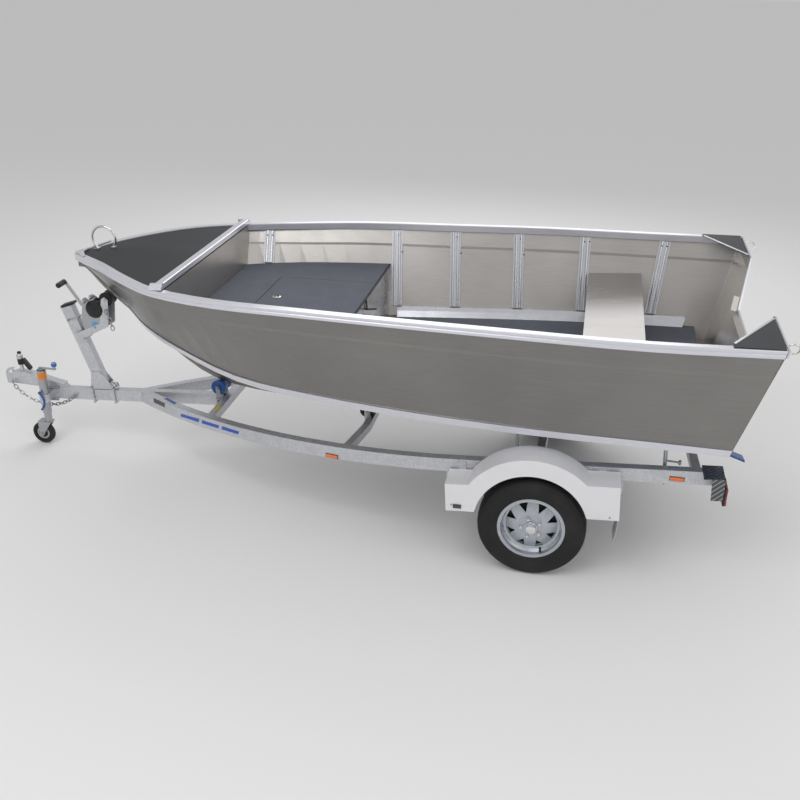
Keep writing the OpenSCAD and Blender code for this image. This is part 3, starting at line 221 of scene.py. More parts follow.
class Value:
    """A shader socket that can be used in arithmetic."""

    def __init__(self, shader: "Shader", socket: bpy.types.NodeSocket) -> None:
        self.shader = shader
        self.socket = socket

    def _maths(self, kind: str, *others: "Value | float") -> "Value":
        """Returns this value and others through a Math node."""
        return self.shader.node("Math", self, *others, operation=kind)

    def __add__(self, other: "Value | float") -> "Value":
        return self._maths("ADD", other)

    __radd__ = __add__

    def __rsub__(self, other: float) -> "Value":
        return self.shader.node("Math", other, self, operation="SUBTRACT")

    def __sub__(self, other: "Value | float") -> "Value":
        return self._maths("SUBTRACT", other)

    def __mul__(self, other: "Value | float") -> "Value":
        return self._maths("MULTIPLY", other)

    __rmul__ = __mul__

    def __truediv__(self, other: "Value | float") -> "Value":
        return self._maths("DIVIDE", other)

    def __pow__(self, other: "Value | float") -> "Value":
        return self._maths("POWER", other)

    def __gt__(self, other: "Value | float") -> "Value":
        return self._maths("GREATER_THAN", other)

    def __abs__(self) -> "Value":
        return self._maths("ABSOLUTE")

    def sine(self) -> "Value":
        """Returns the sine of this value."""
        return self._maths("SINE")

    def fraction(self) -> "Value":
        """Returns what this value holds beyond a whole number."""
        return self._maths("FRACT")

    def whole(self) -> "Value":
        """Returns the whole number at or below this value."""
        return self._maths("FLOOR")

    def turn(self, other: "Value") -> "Value":
        """Returns the angle whose tangent is this value over the other."""
        return self._maths("ARCTAN2", other)

    def between(self, low: float, high: float) -> "Value":
        """Returns 0 at low and 1 at high, smoothly."""
        return self.shader.node("MapRange", self, low, high, 0.0, 1.0, interpolation_type="SMOOTHSTEP")


class Shader:
    """Builds one procedural material from a finish."""

    def __init__(self, name: str, finish: Finish) -> None:
        self.finish = finish
        self.material = bpy.data.materials.new(name)
        self.material.use_nodes = True
        self.tree = self.material.node_tree
        self.tree.nodes.clear()
        self.place = self.node("TexCoord", output="Object")

    def node(self, kind: str, *values: object, output: str | int = 0, **settings: object) -> Value:
        """Adds a node and fills its inputs in order.

        Args:
            kind: Node type without its ShaderNode prefix.
            *values: Inputs in order, None to leave one alone.
            output: Name or number of the output to return.
            **settings: Attributes of the node, or inputs by name after "in_".

        Returns:
            The chosen output.
        """
        made = self.tree.nodes.new("ShaderNode" + kind)
        named = {k[3:].replace("_", " "): v for k, v in settings.items() if k.startswith("in_")}
        for key, value in settings.items():
            if not key.startswith("in_"):
                setattr(made, key, value)
        inputs = [s for s in made.inputs if s.enabled] if kind in ("Math", "Mix") else list(made.inputs)
        for socket, value in [*zip(inputs, values), *((made.inputs[k], v) for k, v in named.items())]:
            if value is None:
                continue
            if isinstance(value, Value):
                self.tree.links.new(value.socket, socket)
            else:
                socket.default_value = value
        return Value(self, made.outputs[output])

    def stretched(self, x: float, y: float, z: float) -> Value:
        """Returns the object coordinates scaled along each axis."""
        return self.node("VectorMath", self.place, (x, y, z), operation="MULTIPLY")

    def split(self) -> list[Value]:
        """Returns the three object coordinates."""
        return [self.node("SeparateXYZ", self.place, output=axis) for axis in "XYZ"]

    def noise(self, where: Value, scale: float, detail: float = 3.0, rough: float = 0.5) -> Value:
        """Returns fractal noise between 0 and 1."""
        return self.node("TexNoise", where, in_Scale=scale, in_Detail=detail, in_Roughness=rough)

    def cells(self, where: Value, scale: float) -> Value:
        """Returns a random grey for each Voronoi cell."""
        colour = self.node("TexVoronoi", where, in_Scale=scale, output="Color")
        return self.node("SeparateColor", colour)

    def blend(self, first: object, second: object, share: object) -> Value:
        """Returns a mix of two colours."""
        return self.node("Mix", share, first, second, data_type="RGBA", output=2, clamp_factor=True)

    def shade(self, factor: Value) -> Value:
        """Returns the base colour times a factor."""
        grey = self.node("CombineColor", factor, factor, factor)
        return self.node("VectorMath", grey, self.finish.colour, operation="MULTIPLY")

    def wander(self, value: Value, part: float = 1.0) -> Value:
        """Returns a factor about 1 that follows a value between 0 and 1 by the finish's own variation."""
        return (value - 0.5) * (2 * self.finish.vary * part) + 1.0

    def build(self) -> bpy.types.Material:
        """Makes the node tree for the finish.

        Returns:
            The finished material.
        """
        recipe: Callable[[], tuple[Value, Value, Value]] = getattr(self, self.finish.grain.name.lower())
        colour, rough, height = recipe()
        if self.finish.soil:
            dust = self.noise(self.place, 5.0, 4.0).between(0.45, 0.8) * self.finish.soil
            colour = self.blend(colour, DUST_COLOUR, dust)
            rough = rough + dust * 0.3
        normal = self.node("Bump", in_Strength=self.finish.relief, in_Distance=MM, in_Height=height)
        shader = self.tree.nodes.new("ShaderNodeBsdfPrincipled")
        for key, value in {
            "Base Color": colour,
            "Roughness": rough,
            "Metallic": self.finish.metal,
            "Coat Weight": self.finish.coat,
            "Coat Roughness": COAT_ROUGH,
            "Normal": normal,
        }.items():
            if isinstance(value, Value):
                self.tree.links.new(value.socket, shader.inputs[key])
            else:
                shader.inputs[key].default_value = value
        out = self.tree.nodes.new("ShaderNodeOutputMaterial")
        self.tree.links.new(shader.outputs[0], out.inputs[0])
        return self.material

    def roughened(self, value: Value, swing: float) -> Value:
        """Returns the finish's roughness with a swing that follows a value between 0 and 1."""
        return (value - 0.5) * swing + self.finish.rough

    def rolled(self) -> tuple[Value, Value, Value]:
        """Returns tone, roughness and height of rolled sheet: streaks, and broad cloudy patches painted in as
        reflections.
        """
        streak = self.noise(self.stretched(1.2, 160, 160), 1.0, 4.0, 0.6)
        # Broad patches painted in as reflections of the surroundings
        painted_reflection = self.noise(self.place, 1.6, 2.0)
        smear = self.noise(self.stretched(3, 9, 22), 1.0, 3.0)
        tone = self.wander(streak, 0.6) * self.wander(painted_reflection)
        return tone, (smear - 0.5) * 0.14 + self.roughened(streak, 0.10), streak

    def brushed(self) -> tuple[Value, Value, Value]:
        """Bare rolled sheet."""
        tone, rough, streak = self.rolled()
        return self.shade(tone), rough, streak

    def sheet(self) -> tuple[Value, Value, Value]:
        """Hull sheet with painted light: faces turned into the middle of the hull are painted brighter than the
        outside.
        """
        tone, rough, streak = self.rolled()
        # Faces that look away from a point above the hull's middle keep the base tone; the others are painted
        # brighter as painted light
        normal = self.node("TexCoord", output="Normal")
        out = self.node("VectorMath", self.stretched(0, 1, 1), (0, 0, -INNER_HEIGHT), operation="ADD")
        outside = self.node("VectorMath", out, normal, operation="DOT_PRODUCT", output="Value") > 0.0
        return self.shade(tone * (outside + (1.0 - outside) * self.finish.inside)), rough, streak

    def extruded(self) -> tuple[Value, Value, Value]:
        """Extruded section: die lines and a slight mottle."""
        lines = self.noise(self.stretched(0.8, 420, 420), 1.0, 3.0, 0.6)
        mottle = self.noise(self.place, 14.0, 3.0)
        tone = self.wander(lines) * self.wander(mottle, 0.7)
        return self.shade(tone), self.roughened(mottle, 0.12), lines

    def spangle(self) -> tuple[Value, Value, Value]:
        """Hot-dip zinc: crystals of a few millimetres, runs and grey bloom."""
        crystal = self.cells(self.place, 95.0)
        fine = self.cells(self.place, 260.0)
        bloom = self.noise(self.place, 7.0, 4.0)
        run = self.noise(self.stretched(30, 30, 4), 1.0, 2.0)
        tone = self.wander(crystal, 0.6) * self.wander(fine, 0.4) * self.wander(bloom)
        rough = (crystal - 0.5) * 0.16 + self.roughened(bloom, 0.12)
        return self.shade(tone), rough, run * 0.7 + fine * 0.3

    def carpet(self) -> tuple[Value, Value, Value]:
        """Ribbed marine carpet: loops in rows, matted patches and stray pale fibres."""
        loops = self.node("TexVoronoi", self.stretched(1, 1.6, 1), in_Scale=340.0, output="Distance")
        fuzz = self.noise(self.place, 900.0, 2.0)
        mat = self.noise(self.place, 9.0, 3.0)
        fleck = self.noise(self.place, 480.0, 1.0).between(0.66, 0.76)
        tone = self.wander(loops) * self.wander(mat, 0.6)
        colour = self.blend(self.shade(tone), FIBRE_COLOUR, fleck * 0.35)
        return colour, fuzz * 0.1 + (self.finish.rough - 0.05), loops * 0.7 + fuzz * 0.3

    def coated(self) -> tuple[Value, Value, Value]:
        """Dark textured coating with a faint sheen."""
        grit = self.noise(self.place, 520.0, 2.0)
        sweep = self.noise(self.stretched(2, 6, 6), 1.0, 2.0)
        tone = self.wander(grit) * ((sweep - 0.5) * 0.5 + 1.0)
        return self.shade(tone), self.roughened(sweep, 0.15), grit

    def painted(self) -> tuple[Value, Value, Value]:
        """Sprayed gloss with orange peel."""
        peel = self.noise(self.place, 190.0, 2.0)
        broad = self.noise(self.place, 3.0, 2.0)
        return self.shade(self.wander(broad)), self.roughened(broad, 0.1), peel

    def moulded(self) -> tuple[Value, Value, Value]:
        """Moulded or printed face with a fine grain."""
        grain = self.noise(self.place, 700.0, 2.0)
        broad = self.noise(self.place, 18.0, 3.0)
        return self.shade(self.wander(broad)), (grain - 0.5) * 0.1 + self.roughened(broad, 0.08), grain

    def tyre(self) -> tuple[Value, Value, Value]:
        """Tread slots across the running face, darkened as painted shade, and fine ribs on the side wall."""
        x, y, z = self.split()
        x, z = x + LAYOUT.datum * MM, z - TYRE_RADIUS
        radius = (x * x + z * z) ** 0.5
        slots = (z.turn(x) * TREAD_SLOTS + (abs(y) * 190).sine() * 1.4).sine() > 0.55
        tread = slots * radius.between(0.268, 0.276)
        ribs = (radius * 900).sine() * radius.between(0.19, 0.20)
        scuff = self.noise(self.place, 40.0, 4.0)
        height = tread * -1.0 + ribs * 0.12 + scuff * 0.06
        # The tread slots are painted darker, as painted shade in the recesses
        return self.shade(self.wander(scuff) - tread * 0.5), self.roughened(scuff, 0.2), height

    def polished(self) -> tuple[Value, Value, Value]:
        """Polished metal with hairline scratches."""
        hair = self.noise(self.stretched(60, 700, 60), 1.0, 2.0)
        bloom = self.noise(self.place, 25.0, 3.0)
        return self.shade(self.wander(bloom)), hair * 0.10 + bloom * 0.08 + (self.finish.rough - 0.06), hair

    def checker(self) -> tuple[Value, Value, Value]:
        """Tread plate: short raised bars whose direction alternates."""
        x, y, z = self.split()
        first, second = (x + y + z) * BARS_PER_METRE, (x - y + z) * BARS_PER_METRE
        odd = ((first.whole() + second.whole()) * 0.5).fraction() > 0.25
        du, dv = abs(first.fraction() - 0.5), abs(second.fraction() - 0.5)
        upright = (1.0 - du.between(0.10, 0.18)) * (1.0 - dv.between(0.34, 0.42))
        lying = (1.0 - dv.between(0.10, 0.18)) * (1.0 - du.between(0.34, 0.42))
        bars = odd * upright + (1.0 - odd) * lying
        grime = self.noise(self.place, 30.0, 3.0)
        return self.shade(self.wander(grime) + bars * 2.2), self.roughened(grime, 0.2) - bars * 0.1, bars

    def lens(self) -> tuple[Value, Value, Value]:
        """Lens with fine upright ribs."""
        x, y, _ = self.split()
        broad = self.noise(self.place, 30.0, 2.0)
        return self.shade(self.wander(broad)), broad * 0.06 + self.finish.rough, ((y + x) * 1800).sine()


LAYOUT = Layout.from_record(frame["record"])
# The tyre's radius in metres and its tread slots, which are worked out in the shader
TYRE_RADIUS = 0.29
TREAD_SLOTS = 76
# Bars of the tread plate in a metre
BARS_PER_METRE = 34.0
# Height in metres that the hull's inner faces look towards; faces turned to it are painted brighter as painted
# light
INNER_HEIGHT = 1.4
COAT_ROUGH = 0.08
DUST_COLOUR = (0.30, 0.28, 0.25, 1.0)
FIBRE_COLOUR = (0.24, 0.26, 0.28, 1.0)


class Materials:
    """Makes each finish once and hands it out."""

    def __init__(self) -> None:
        self.made: dict[Look, bpy.types.Material] = {}

    def get(self, look: Look) -> bpy.types.Material:
        """Returns the material of a finish, made at its first use."""
        if look not in self.made:
            self.made[look] = Shader(look.name.lower(), look.value).build()
        return self.made[look]

    def dress(self, node: str, look: Look) -> None:
        """Gives a CAD node its finish."""
        mesh = frame["nodes"][node].data
        mesh.materials.clear()
        mesh.materials.append(self.get(look))


# Meshes


def along(axis: Vector) -> Matrix:
    """Returns the rotation that turns +Z to an axis."""
    return axis.normalized().to_track_quat("Z", "Y").to_matrix().to_4x4()


def at(place: Point, axis: Vector = UP) -> Matrix:
    """Returns a transform that stands a shape on a place, its +Z along an axis."""
    return Matrix.Translation(Vector(place)) @ along(axis)


def sideways(side: "Side") -> Vector:
    """Returns the direction out from the centre plane on one side."""
    return Vector((0, side.value, 0))


def hexagon(corner: float) -> list[tuple[float, float]]:
    """Returns a hexagon's corners for the distance from its middle to a corner."""
    return [(corner * math.cos(a), corner * math.sin(a)) for a in (i * math.pi / 3 for i in range(6))]


# Angle in radians above which an edge is rounded
SHARP_EDGE = 0.6


class Mesh:
    """A piece under construction, in millimetres of one frame."""

    def __init__(self) -> None:
        self.bm = bmesh.new()

    def _take(self, verts: Iterable[bmesh.types.BMVert], where: Matrix) -> None:
        """Carries new vertices to their place."""
        bmesh.ops.transform(self.bm, matrix=where, verts=list(verts))

    def _edges(self, verts: Iterable[bmesh.types.BMVert]) -> list[bmesh.types.BMEdge]:
        """Returns the edges at some vertices, each once and always in the same order."""
        return list(dict.fromkeys(e for v in verts for e in v.link_edges))

    def _outward(self, verts: Iterable[bmesh.types.BMVert]) -> None:
        """Turns the faces at some vertices outward."""
        faces = list(dict.fromkeys(f for v in verts for f in v.link_faces))
        bmesh.ops.recalc_face_normals(self.bm, faces=faces)

    def _soften(self, verts: Iterable[bmesh.types.BMVert], width: float, steps: int) -> None:
        """Rounds the sharp edges at some vertices."""
        closed = [e for e in self._edges(verts) if len(e.link_faces) == 2]
        sharp = [e for e in closed if e.calc_face_angle(0.0) > SHARP_EDGE]
        if width > 0:
            bmesh.ops.bevel(
                self.bm, geom=sharp, offset=width, segments=steps,
                affect="EDGES", profile=0.5, material=-1, clamp_overlap=True,
            )

    def box(self, size: Point, where: Matrix, soft: float = 1.0, steps: int = 2) -> "Mesh":
        """Adds a box with rounded edges.

        Args:
            size: Its three sides.
            where: Transform of its centre.
            soft: Radius of its edges.
            steps: Segments of each rounded edge.
        """
        made = bmesh.ops.create_cube(self.bm, size=1.0)["verts"]
        bmesh.ops.scale(self.bm, vec=Vector(size), verts=made)
        self._take(made, where)
        self._soften(made, soft, steps)
        return self

    def prism(
        self, outline: Sequence[tuple[float, float]], height: float, where: Matrix,
        soft: float = 0.8, steps: int = 1,
    ) -> "Mesh":
        """Adds an outline raised along its own Z.

        Args:
            outline: Corners in order.
            height: How far it is raised.
            where: Its transform.
            soft: Radius of its edges.
            steps: Segments of each rounded edge.
        """
        flat = [self.bm.verts.new((x, y, 0)) for x, y in outline]
        face = self.bm.faces.new(flat)
        face.normal_update()
        raised = bmesh.ops.extrude_face_region(self.bm, geom=[face])["geom"]
        top = [v for v in raised if isinstance(v, bmesh.types.BMVert)]
        bmesh.ops.translate(self.bm, vec=(0, 0, height), verts=top)
        made = flat + top
        self._outward(made)
        self._take(made, where)
        self._soften(made, soft, steps)
        return self

    def turned(self, profile: Sequence[tuple[float, float]], where: Matrix, sides: int = 32) -> "Mesh":
        """Adds a solid of revolution.

        Args:
            profile: Points as radius and height, from the foot on the axis to the top on it.
            where: Its transform.
            sides: Facets round it.
        """
        verts = [self.bm.verts.new((r, 0, z)) for r, z in profile]
        edges = [self.bm.edges.new(pair) for pair in zip(verts, verts[1:])]
        before = set(self.bm.verts)
        bmesh.ops.spin(
            self.bm, geom=verts + edges, cent=(0, 0, 0), axis=(0, 0, 1),
            angle=2 * math.pi, steps=sides, use_merge=True,
        )
        made = verts + [v for v in self.bm.verts if v not in before]
        made = [v for v in made if v.is_valid]
        bmesh.ops.remove_doubles(self.bm, verts=made, dist=1e-4)
        made = [v for v in made if v.is_valid]
        self._outward(made)
        self._take(made, where)
        return self

    def disc(self, radius: float, height: float, where: Matrix, sides: int = 32, soft: float = 0.8) -> "Mesh":
        """Adds a round of a given height with rounded rims."""
        s = min(soft, radius * 0.45, height * 0.45)
        return self.turned(
            [(0, 0), (radius - s, 0), (radius - s * 0.3, s * 0.3), (radius, s), (radius, height - s),
             (radius - s * 0.3, height - s * 0.3), (radius - s, height), (0, height)], where, sides,
        )

    def tube(self, path: Sequence[Point], radius: float, sides: int = 12, closed: bool = False) -> "Mesh":
        """Adds a round bar or wire along a path.

        Args:
            path: Points along its middle.
            radius: Its radius, in the path's unit.
            sides: Facets round it.
            closed: Whether its ends meet.
        """
        points = [Vector(point) for point in path]
        count = len(points)
        rings, up = [], None
        for i, point in enumerate(points):
            before = points[i - 1] if closed or i else point
            after = points[(i + 1) % count] if closed or i < count - 1 else point
            way = (after - before).normalized()
            if up is None:
                up = way.orthogonal().normalized()
            up = (up - way * up.dot(way)).normalized()
            turn = Matrix((up, way.cross(up), way)).transposed().to_4x4()
            ring = bmesh.ops.create_circle(
                self.bm, segments=sides, radius=radius, cap_ends=False,
                matrix=Matrix.Translation(point) @ turn,
            )["verts"]
            rings.append(ring)
        spans = list(zip(rings, rings[1:])) + ([(rings[-1], rings[0])] if closed else [])
        for first, second in spans:
            edges = [
                e for ring in (first, second) for e in self._edges(ring)
                if e.verts[0] in ring and e.verts[1] in ring
            ]
            bmesh.ops.bridge_loops(self.bm, edges=edges)
        if not closed:
            for ring in (rings[0], rings[-1]):
                self.bm.faces.new(ring)
        self._outward(v for ring in rings for v in ring)
        return self

    def bolt(self, where: Matrix, across: float = 17.0, height: float = 8.0) -> "Mesh":
        """Adds a hexagon head or nut with its washer, standing on the transform's XY plane."""
        washer, foot = 2.0, 1.9
        self.disc(across * 0.62, washer, where, 24, 0.5)
        raised = where @ Matrix.Translation((0, 0, foot))
        self.prism(hexagon(across / math.sqrt(3)), height, raised, soft=0.9)
        return self.disc(across * 0.27, height + 3, raised, 16, 0.9)

    def rivet(self, where: Matrix, radius: float = 4.0) -> "Mesh":
        """Adds a domed rivet head."""
        return self.turned(
            [(0, -0.6), (radius, -0.6), (radius, 0.2), (radius * 0.8, radius * 0.32),
             (radius * 0.4, radius * 0.5), (0, radius * 0.54)], where, 12,
        )

    def place(self, where: Matrix) -> "Mesh":
        """Carries everything made so far through a transform."""
        bmesh.ops.transform(self.bm, matrix=where, verts=self.bm.verts)
        return self

    def both_sides(self) -> "Mesh":
        """Adds the mirror image across the centre plane."""
        geom = self.bm.verts[:] + self.bm.edges[:] + self.bm.faces[:]
        copy = bmesh.ops.duplicate(self.bm, geom=geom)["geom"]
        verts = [g for g in copy if isinstance(g, bmesh.types.BMVert)]
        faces = [g for g in copy if isinstance(g, bmesh.types.BMFace)]
        bmesh.ops.scale(self.bm, vec=(1, -1, 1), verts=verts)
        bmesh.ops.reverse_faces(self.bm, faces=faces)
        return self


@dataclass
class Workshop:
    """Turns meshes into pieces that ride on the CAD's bodies.

    Attributes:
        materials: Where the finishes come from.
        made: Names of the pieces made so far.
    """

    materials: Materials
    made: list[str] = field(default_factory=list)

    def piece(
        self, name: str, mesh: Mesh, look: Look, slot: str, body: str = "rig", smooth: float = 35.0
    ) -> bpy.types.Object:
        """Makes one object, dresses it and lets it ride.

        Args:
            name: The object's name.
            mesh: Its mesh, in mm of the part's frame.
            look: Its finish.
            slot: The record's material slot; not used.
            body: The CAD body that carries it.
            smooth: Largest angle in degrees that is shaded smooth.

        Returns:
            The object.
        """
        data = bpy.data.meshes.new(name)
        mesh.place(Matrix.Scale(MM, 4))
        mesh.bm.normal_update()
        mesh.bm.to_mesh(data)
        mesh.bm.free()
        data.materials.append(self.materials.get(look))
        made = bpy.data.objects.new(name, data)
        bpy.context.scene.collection.objects.link(made)
        data.polygons.foreach_set("use_smooth", [True] * len(data.polygons))
        data.set_sharp_from_angle(angle=math.radians(smooth))
        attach(made, body)
        self.made.append(name)
        log.info("%s: %d faces on %s", name, len(data.polygons), body)
        return made


# The photograph's camera


@dataclass(frozen=True)
class Viewpoint:
    """Where the photograph was taken from.

    Attributes:
        stand: The camera's place in metres from the wheels' ground line.
        yaw: Turn in degrees from square on to the port side.
        pitch: Degrees below the level.
        roll: Turn of the picture in degrees.
        reach: Focal length in pixels of the photograph.
    """

    stand: tuple[float, float, float] = (-0.146, 5.305, 3.115)
    yaw: float = 11.082
    pitch: float = 25.447
    roll: float = 1.165
    reach: float = 972.0

    def eye(self) -> Vector:
        """Returns the camera's place in the part's frame, in mm."""
        return Vector(self.stand) / MM - Vector((LAYOUT.datum, 0, 0))

    def axes(self) -> tuple[Vector, Vector, Vector]:
        """Returns the picture's right and up and the way the camera looks."""
        yaw, pitch, roll = (math.radians(a) for a in (self.yaw, self.pitch, self.roll))
        ahead = Vector((
            math.sin(yaw) * math.cos(pitch), -math.cos(yaw) * math.cos(pitch), -math.sin(pitch)
        ))
        right = Vector((-math.cos(yaw), -math.sin(yaw), 0))
        up = right.cross(ahead)
        return (
            right * math.cos(roll) + up * math.sin(roll),
            up * math.cos(roll) - right * math.sin(roll),
            ahead,
        )

    def ray(self, x: float, y: float) -> Vector:
        """Returns the direction through a pixel of the photograph."""
        right, up, ahead = self.axes()
        half = PHOTO_SIZE / 2
        return (ahead + right * ((x - half) / self.reach) - up * ((y - half) / self.reach)).normalized()

    def camera(self) -> bpy.types.Object:
        """Makes the scene's camera."""
        right, up, ahead = self.axes()
        data = bpy.data.cameras.new("photograph")
        data.sensor_width = SENSOR_WIDTH
        data.lens = self.reach / PHOTO_SIZE * data.sensor_width
        data.clip_end = 60.0
        made = bpy.data.objects.new("photograph", data)
        turn = Matrix((right, up, -ahead)).transposed().to_4x4()
        made.matrix_world = Matrix.Translation(self.eye() * MM) @ turn
        bpy.context.scene.collection.objects.link(made)
        bpy.context.scene.camera = made
        return made


@dataclass(frozen=True)
class Spot:
    """A place that the photograph shows on a CAD node, as a pixel of the 800 pixel picture."""

    node: str
    x: float
    y: float


class Surface:
    """Finds places on the CAD nodes, in mm of the part's frame."""

    def __init__(self, view: Viewpoint) -> None:
        self.view = view
        self.skins: dict[str, Skin] = {}

    def skin(self, node: str) -> Skin:
        """Returns the node's surface, read once."""
        if node not in self.skins:
            self.skins[node] = Skin(node)
        return self.skins[node]

    def seen(self, spot: Spot) -> tuple[Vector, Vector]:
        """Finds where the photograph's pixel lies on a node.

        Args:
            spot: The node and the pixel.

        Returns:
            Place in mm and outward normal.

        Raises:
            ValueError: The pixel's ray misses the node.
        """
        return self.cast(spot.node, self.view.eye(), self.view.ray(spot.x, spot.y))

    def cast(self, node: str, start: Vector, way: Vector) -> tuple[Vector, Vector]:
        """Casts a ray, with places in mm, at a node."""
        found = self.skin(node).hit(start * MM, way)
        if found is None:
            raise ValueError(f"no surface of {node} at {tuple(start)} along {tuple(way)}")
        return found[0] / MM, found[1]

    def below(self, node: str, x: float, y: float, height: float) -> tuple[Vector, Vector]:
        """Casts a ray straight down at a node."""
        return self.cast(node, Vector((x, y, height)), DOWN)

    def first(
        self, node: str, start: Vector, step: Vector, way: Vector, tries: int = 40
    ) -> tuple[Vector, Vector]:
        """Casts rays from a row of starts and keeps the first that meets the node.

        Args:
            node: The CAD node.
            start: The first ray's start in mm.
            step: From one start to the next.
            way: Direction of every ray.
            tries: Number of starts.

        Returns:
            Place in mm and outward normal.

        Raises:
            ValueError: Every ray misses.
        """
        for count in range(tries):
            found = self.skin(node).hit((start + step * count) * MM, way)
            if found:
                return found[0] / MM, found[1]
        raise ValueError(f"no surface of {node} in the row from {tuple(start)}")

    def box(self, node: str) -> tuple[Vector, Vector, Vector]:
        """Returns a node's lowest and highest corners and their middle, in mm."""
        low, high = (Vector(v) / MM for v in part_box(node))
        return low, high, (low + high) / 2

    def solids(self, node: str) -> list[tuple[Vector, Vector, Vector]]:
        """Finds the separate solids of a node.

        Args:
            node: The CAD node.

        Returns:
            Lowest corner, highest corner and middle of each solid in mm, aft ones first.
        """
        mesh = bmesh.new()
        mesh.from_mesh(frame["nodes"][node].data)
        matrix = frame["nodes"][node].matrix_world
        bmesh.ops.remove_doubles(mesh, verts=mesh.verts[:], dist=1e-6)
        waiting = set(mesh.verts)
        found = []
        while waiting:
            reached, edge = set(), [waiting.pop()]
            while edge:
                vert = edge.pop()
                reached.add(vert)
                fresh = {e.other_vert(vert) for e in vert.link_edges} & waiting
                waiting -= fresh
                edge.extend(fresh)
            places = [matrix @ v.co / MM for v in reached]
            low = Vector(min(p[i] for p in places) for i in range(3))
            high = Vector(max(p[i] for p in places) for i in range(3))
            found.append((low, high, (low + high) / 2))
        mesh.free()
        return sorted(found, key=lambda box: (round(box[2].x), box[2].y))


def seated(place: Vector, normal: Vector, along_x: Vector = FORWARD) -> Matrix:
    """Stands a shape on a surface with its X along a given direction.

    Args:
        place: The point on the surface.
        normal: The surface's outward normal.
        along_x: Direction that the shape's X follows as far as the surface allows.
    """
    up = normal.normalized()
    x = (along_x - up * along_x.dot(up)).normalized()
    return Matrix.Translation(place) @ Matrix((x, up.cross(x), up)).transposed().to_4x4()


def shift(x: float = 0, y: float = 0, z: float = 0) -> Matrix:
    """Returns a translation."""
    return Matrix.Translation((x, y, z))


def turn(degrees: float, axis: str) -> Matrix:
    """Returns a rotation about X, Y or Z."""
    return Matrix.Rotation(math.radians(degrees), 4, axis)


# Places and sizes in mm, read through the photograph's camera

# The latch off the centre plane, and the drain bung's place from it
LATCH_Y = -120.0
BUNG_OFFSET = Vector((0, 60, -60))
# The weld beads' search in the level layout: where its rays start, and their heights
BEAD_START = -700.0
BEAD_HEIGHTS = range(980, 1330, 24)
# Labels, as the node under each, its corners as pixels and its finish
LABEL_THICK = 0.9
LABELS = {
    "plate_label": (
        "side_beam_port", ((153.5, 398), (164.5, 403), (165, 407.5), (154, 402.5)), Look.LABEL,
    ),
    "beam_top_label": (
        "side_beam_port", ((163.5, 398.5), (167.5, 398), (177, 403), (174.5, 404.5)), Look.BLUE,
    ),
    "stripe_fore": (
        "side_beam_port", ((181, 413.5), (199, 419.2), (198.4, 422.2), (180.6, 416.4)), Look.STRIPE,
    ),
    "stripe_mid": (
        "side_beam_port", ((202, 420.2), (219, 425.4), (218.4, 428.4), (201.6, 423.2)), Look.STRIPE,
    ),
    "stripe_aft": (
        "side_beam_port", ((222, 426.3), (239, 431.4), (238.4, 434.4), (221.5, 429.3)), Look.STRIPE,
    ),
    "cross_label": (
        "cross_members", ((215.5, 406.5), (221, 404), (219, 409.5), (213.5, 411.5)), Look.YELLOW,
    ),
}
# Seats of single fittings, as pixels
FORE_REFLECTOR = Spot("side_beam_port", 332, 456)
AFT_REFLECTOR = Spot("side_beam_port", 677, 479)
PLUG_SEAT = Spot("drawbar", 115, 389)
GUARD_CLIP = Spot("mudguards", 457, 506)
# Spring pins, from a hanger's end and below the beam, and a skid post's clamp bolt above the beam's foot
HANGER_PIN = 32.0
PIN_DEPTH = 18.0
CLAMP_RISE = 88.0
# The mudguard's arch: its middle from the axle, its lip and where its seam crosses over
GUARD_MIDDLE = Vector((5, 0, 30))
LIP_RADIUS = 305.0
SEAM_ANGLE = math.radians(97)
VALVE_ANGLE = math.radians(-68)
# The winch post: its lean, its clamp bands below the top, and its U-bolts fore and aft of its foot
POST_LEAN = math.radians(15.4)
BAND_DROPS = (96, 210)
POST_AHEAD = 135.0
U_BOLTS = (-70, 80)
U_BOLT_Y = 31.5
U_BOLT_STAND = 18.4
# Bolts as shares of the length, or of the length and height, of the node's box
WINCH_BOLTS = {"winch_arm": (0.72, 0.06), "winch_frame": (0.45, 0.10)}
COUPLING_BOLTS = (0.12, 0.34)
# A height above everything at the tow end
OVERHEAD = 900.0
# Lamps, as place in metres, side in metres and watts
LAMPS = {
    "key": ((1.5, 4.5, 5.5), 4.0, 110.0),
    "fill": ((-4.5, 3.0, 4.0), 4.0, 50.0),
    "rim": ((0.0, -5.0, 4.5), 5.0, 90.0),
}
WORLD_LEVEL = 0.55
SENSOR_WIDTH = 36.0


# Sub-assemblies


class Side(Enum):
    """The two sides of the rig."""

    PORT = 1
    STARBOARD = -1


@dataclass
class Assembly:
    """What every sub-assembly shares.

    Attributes:
        shop: Makes the pieces.
        surface: Finds places on the CAD.
    """

    shop: Workshop
    surface: Surface
    looks: dict[str, Look] = field(default_factory=dict, init=False)

    def dress(self) -> None:
        """Gives the CAD nodes of this sub-assembly their finishes."""
        for node, look in self.looks.items():
            self.shop.materials.dress(node, look)

    def label(self, name: str, node: str, corners: Sequence[tuple[float, float]], look: Look) -> None:
        """Lays a thin label on a flat face between four pixels of the photograph.

        Args:
            name: The piece's name.
            node: The CAD node under it.
            corners: Its corners as pixels, in order round it.
            look: Its finish.
        """
        view = self.surface.view
        middle = [sum(c[i] for c in corners) / len(corners) for i in range(2)]
        place, normal = self.surface.seen(Spot(node, *middle))
        where = seated(place, normal)
        back = where.inverted()
        outline = []
        for corner in corners:
            ray = view.ray(*corner)
            reach = (place - view.eye()).dot(normal) / ray.dot(normal)
            outline.append(tuple((back @ (view.eye() + ray * reach)).xy))
        mesh = Mesh().prism(outline, LABEL_THICK, where, 0.3)
        self.shop.piece(name, mesh, look, "blue_plastic")

    def build(self) -> None:
        """Makes the pieces of this sub-assembly."""


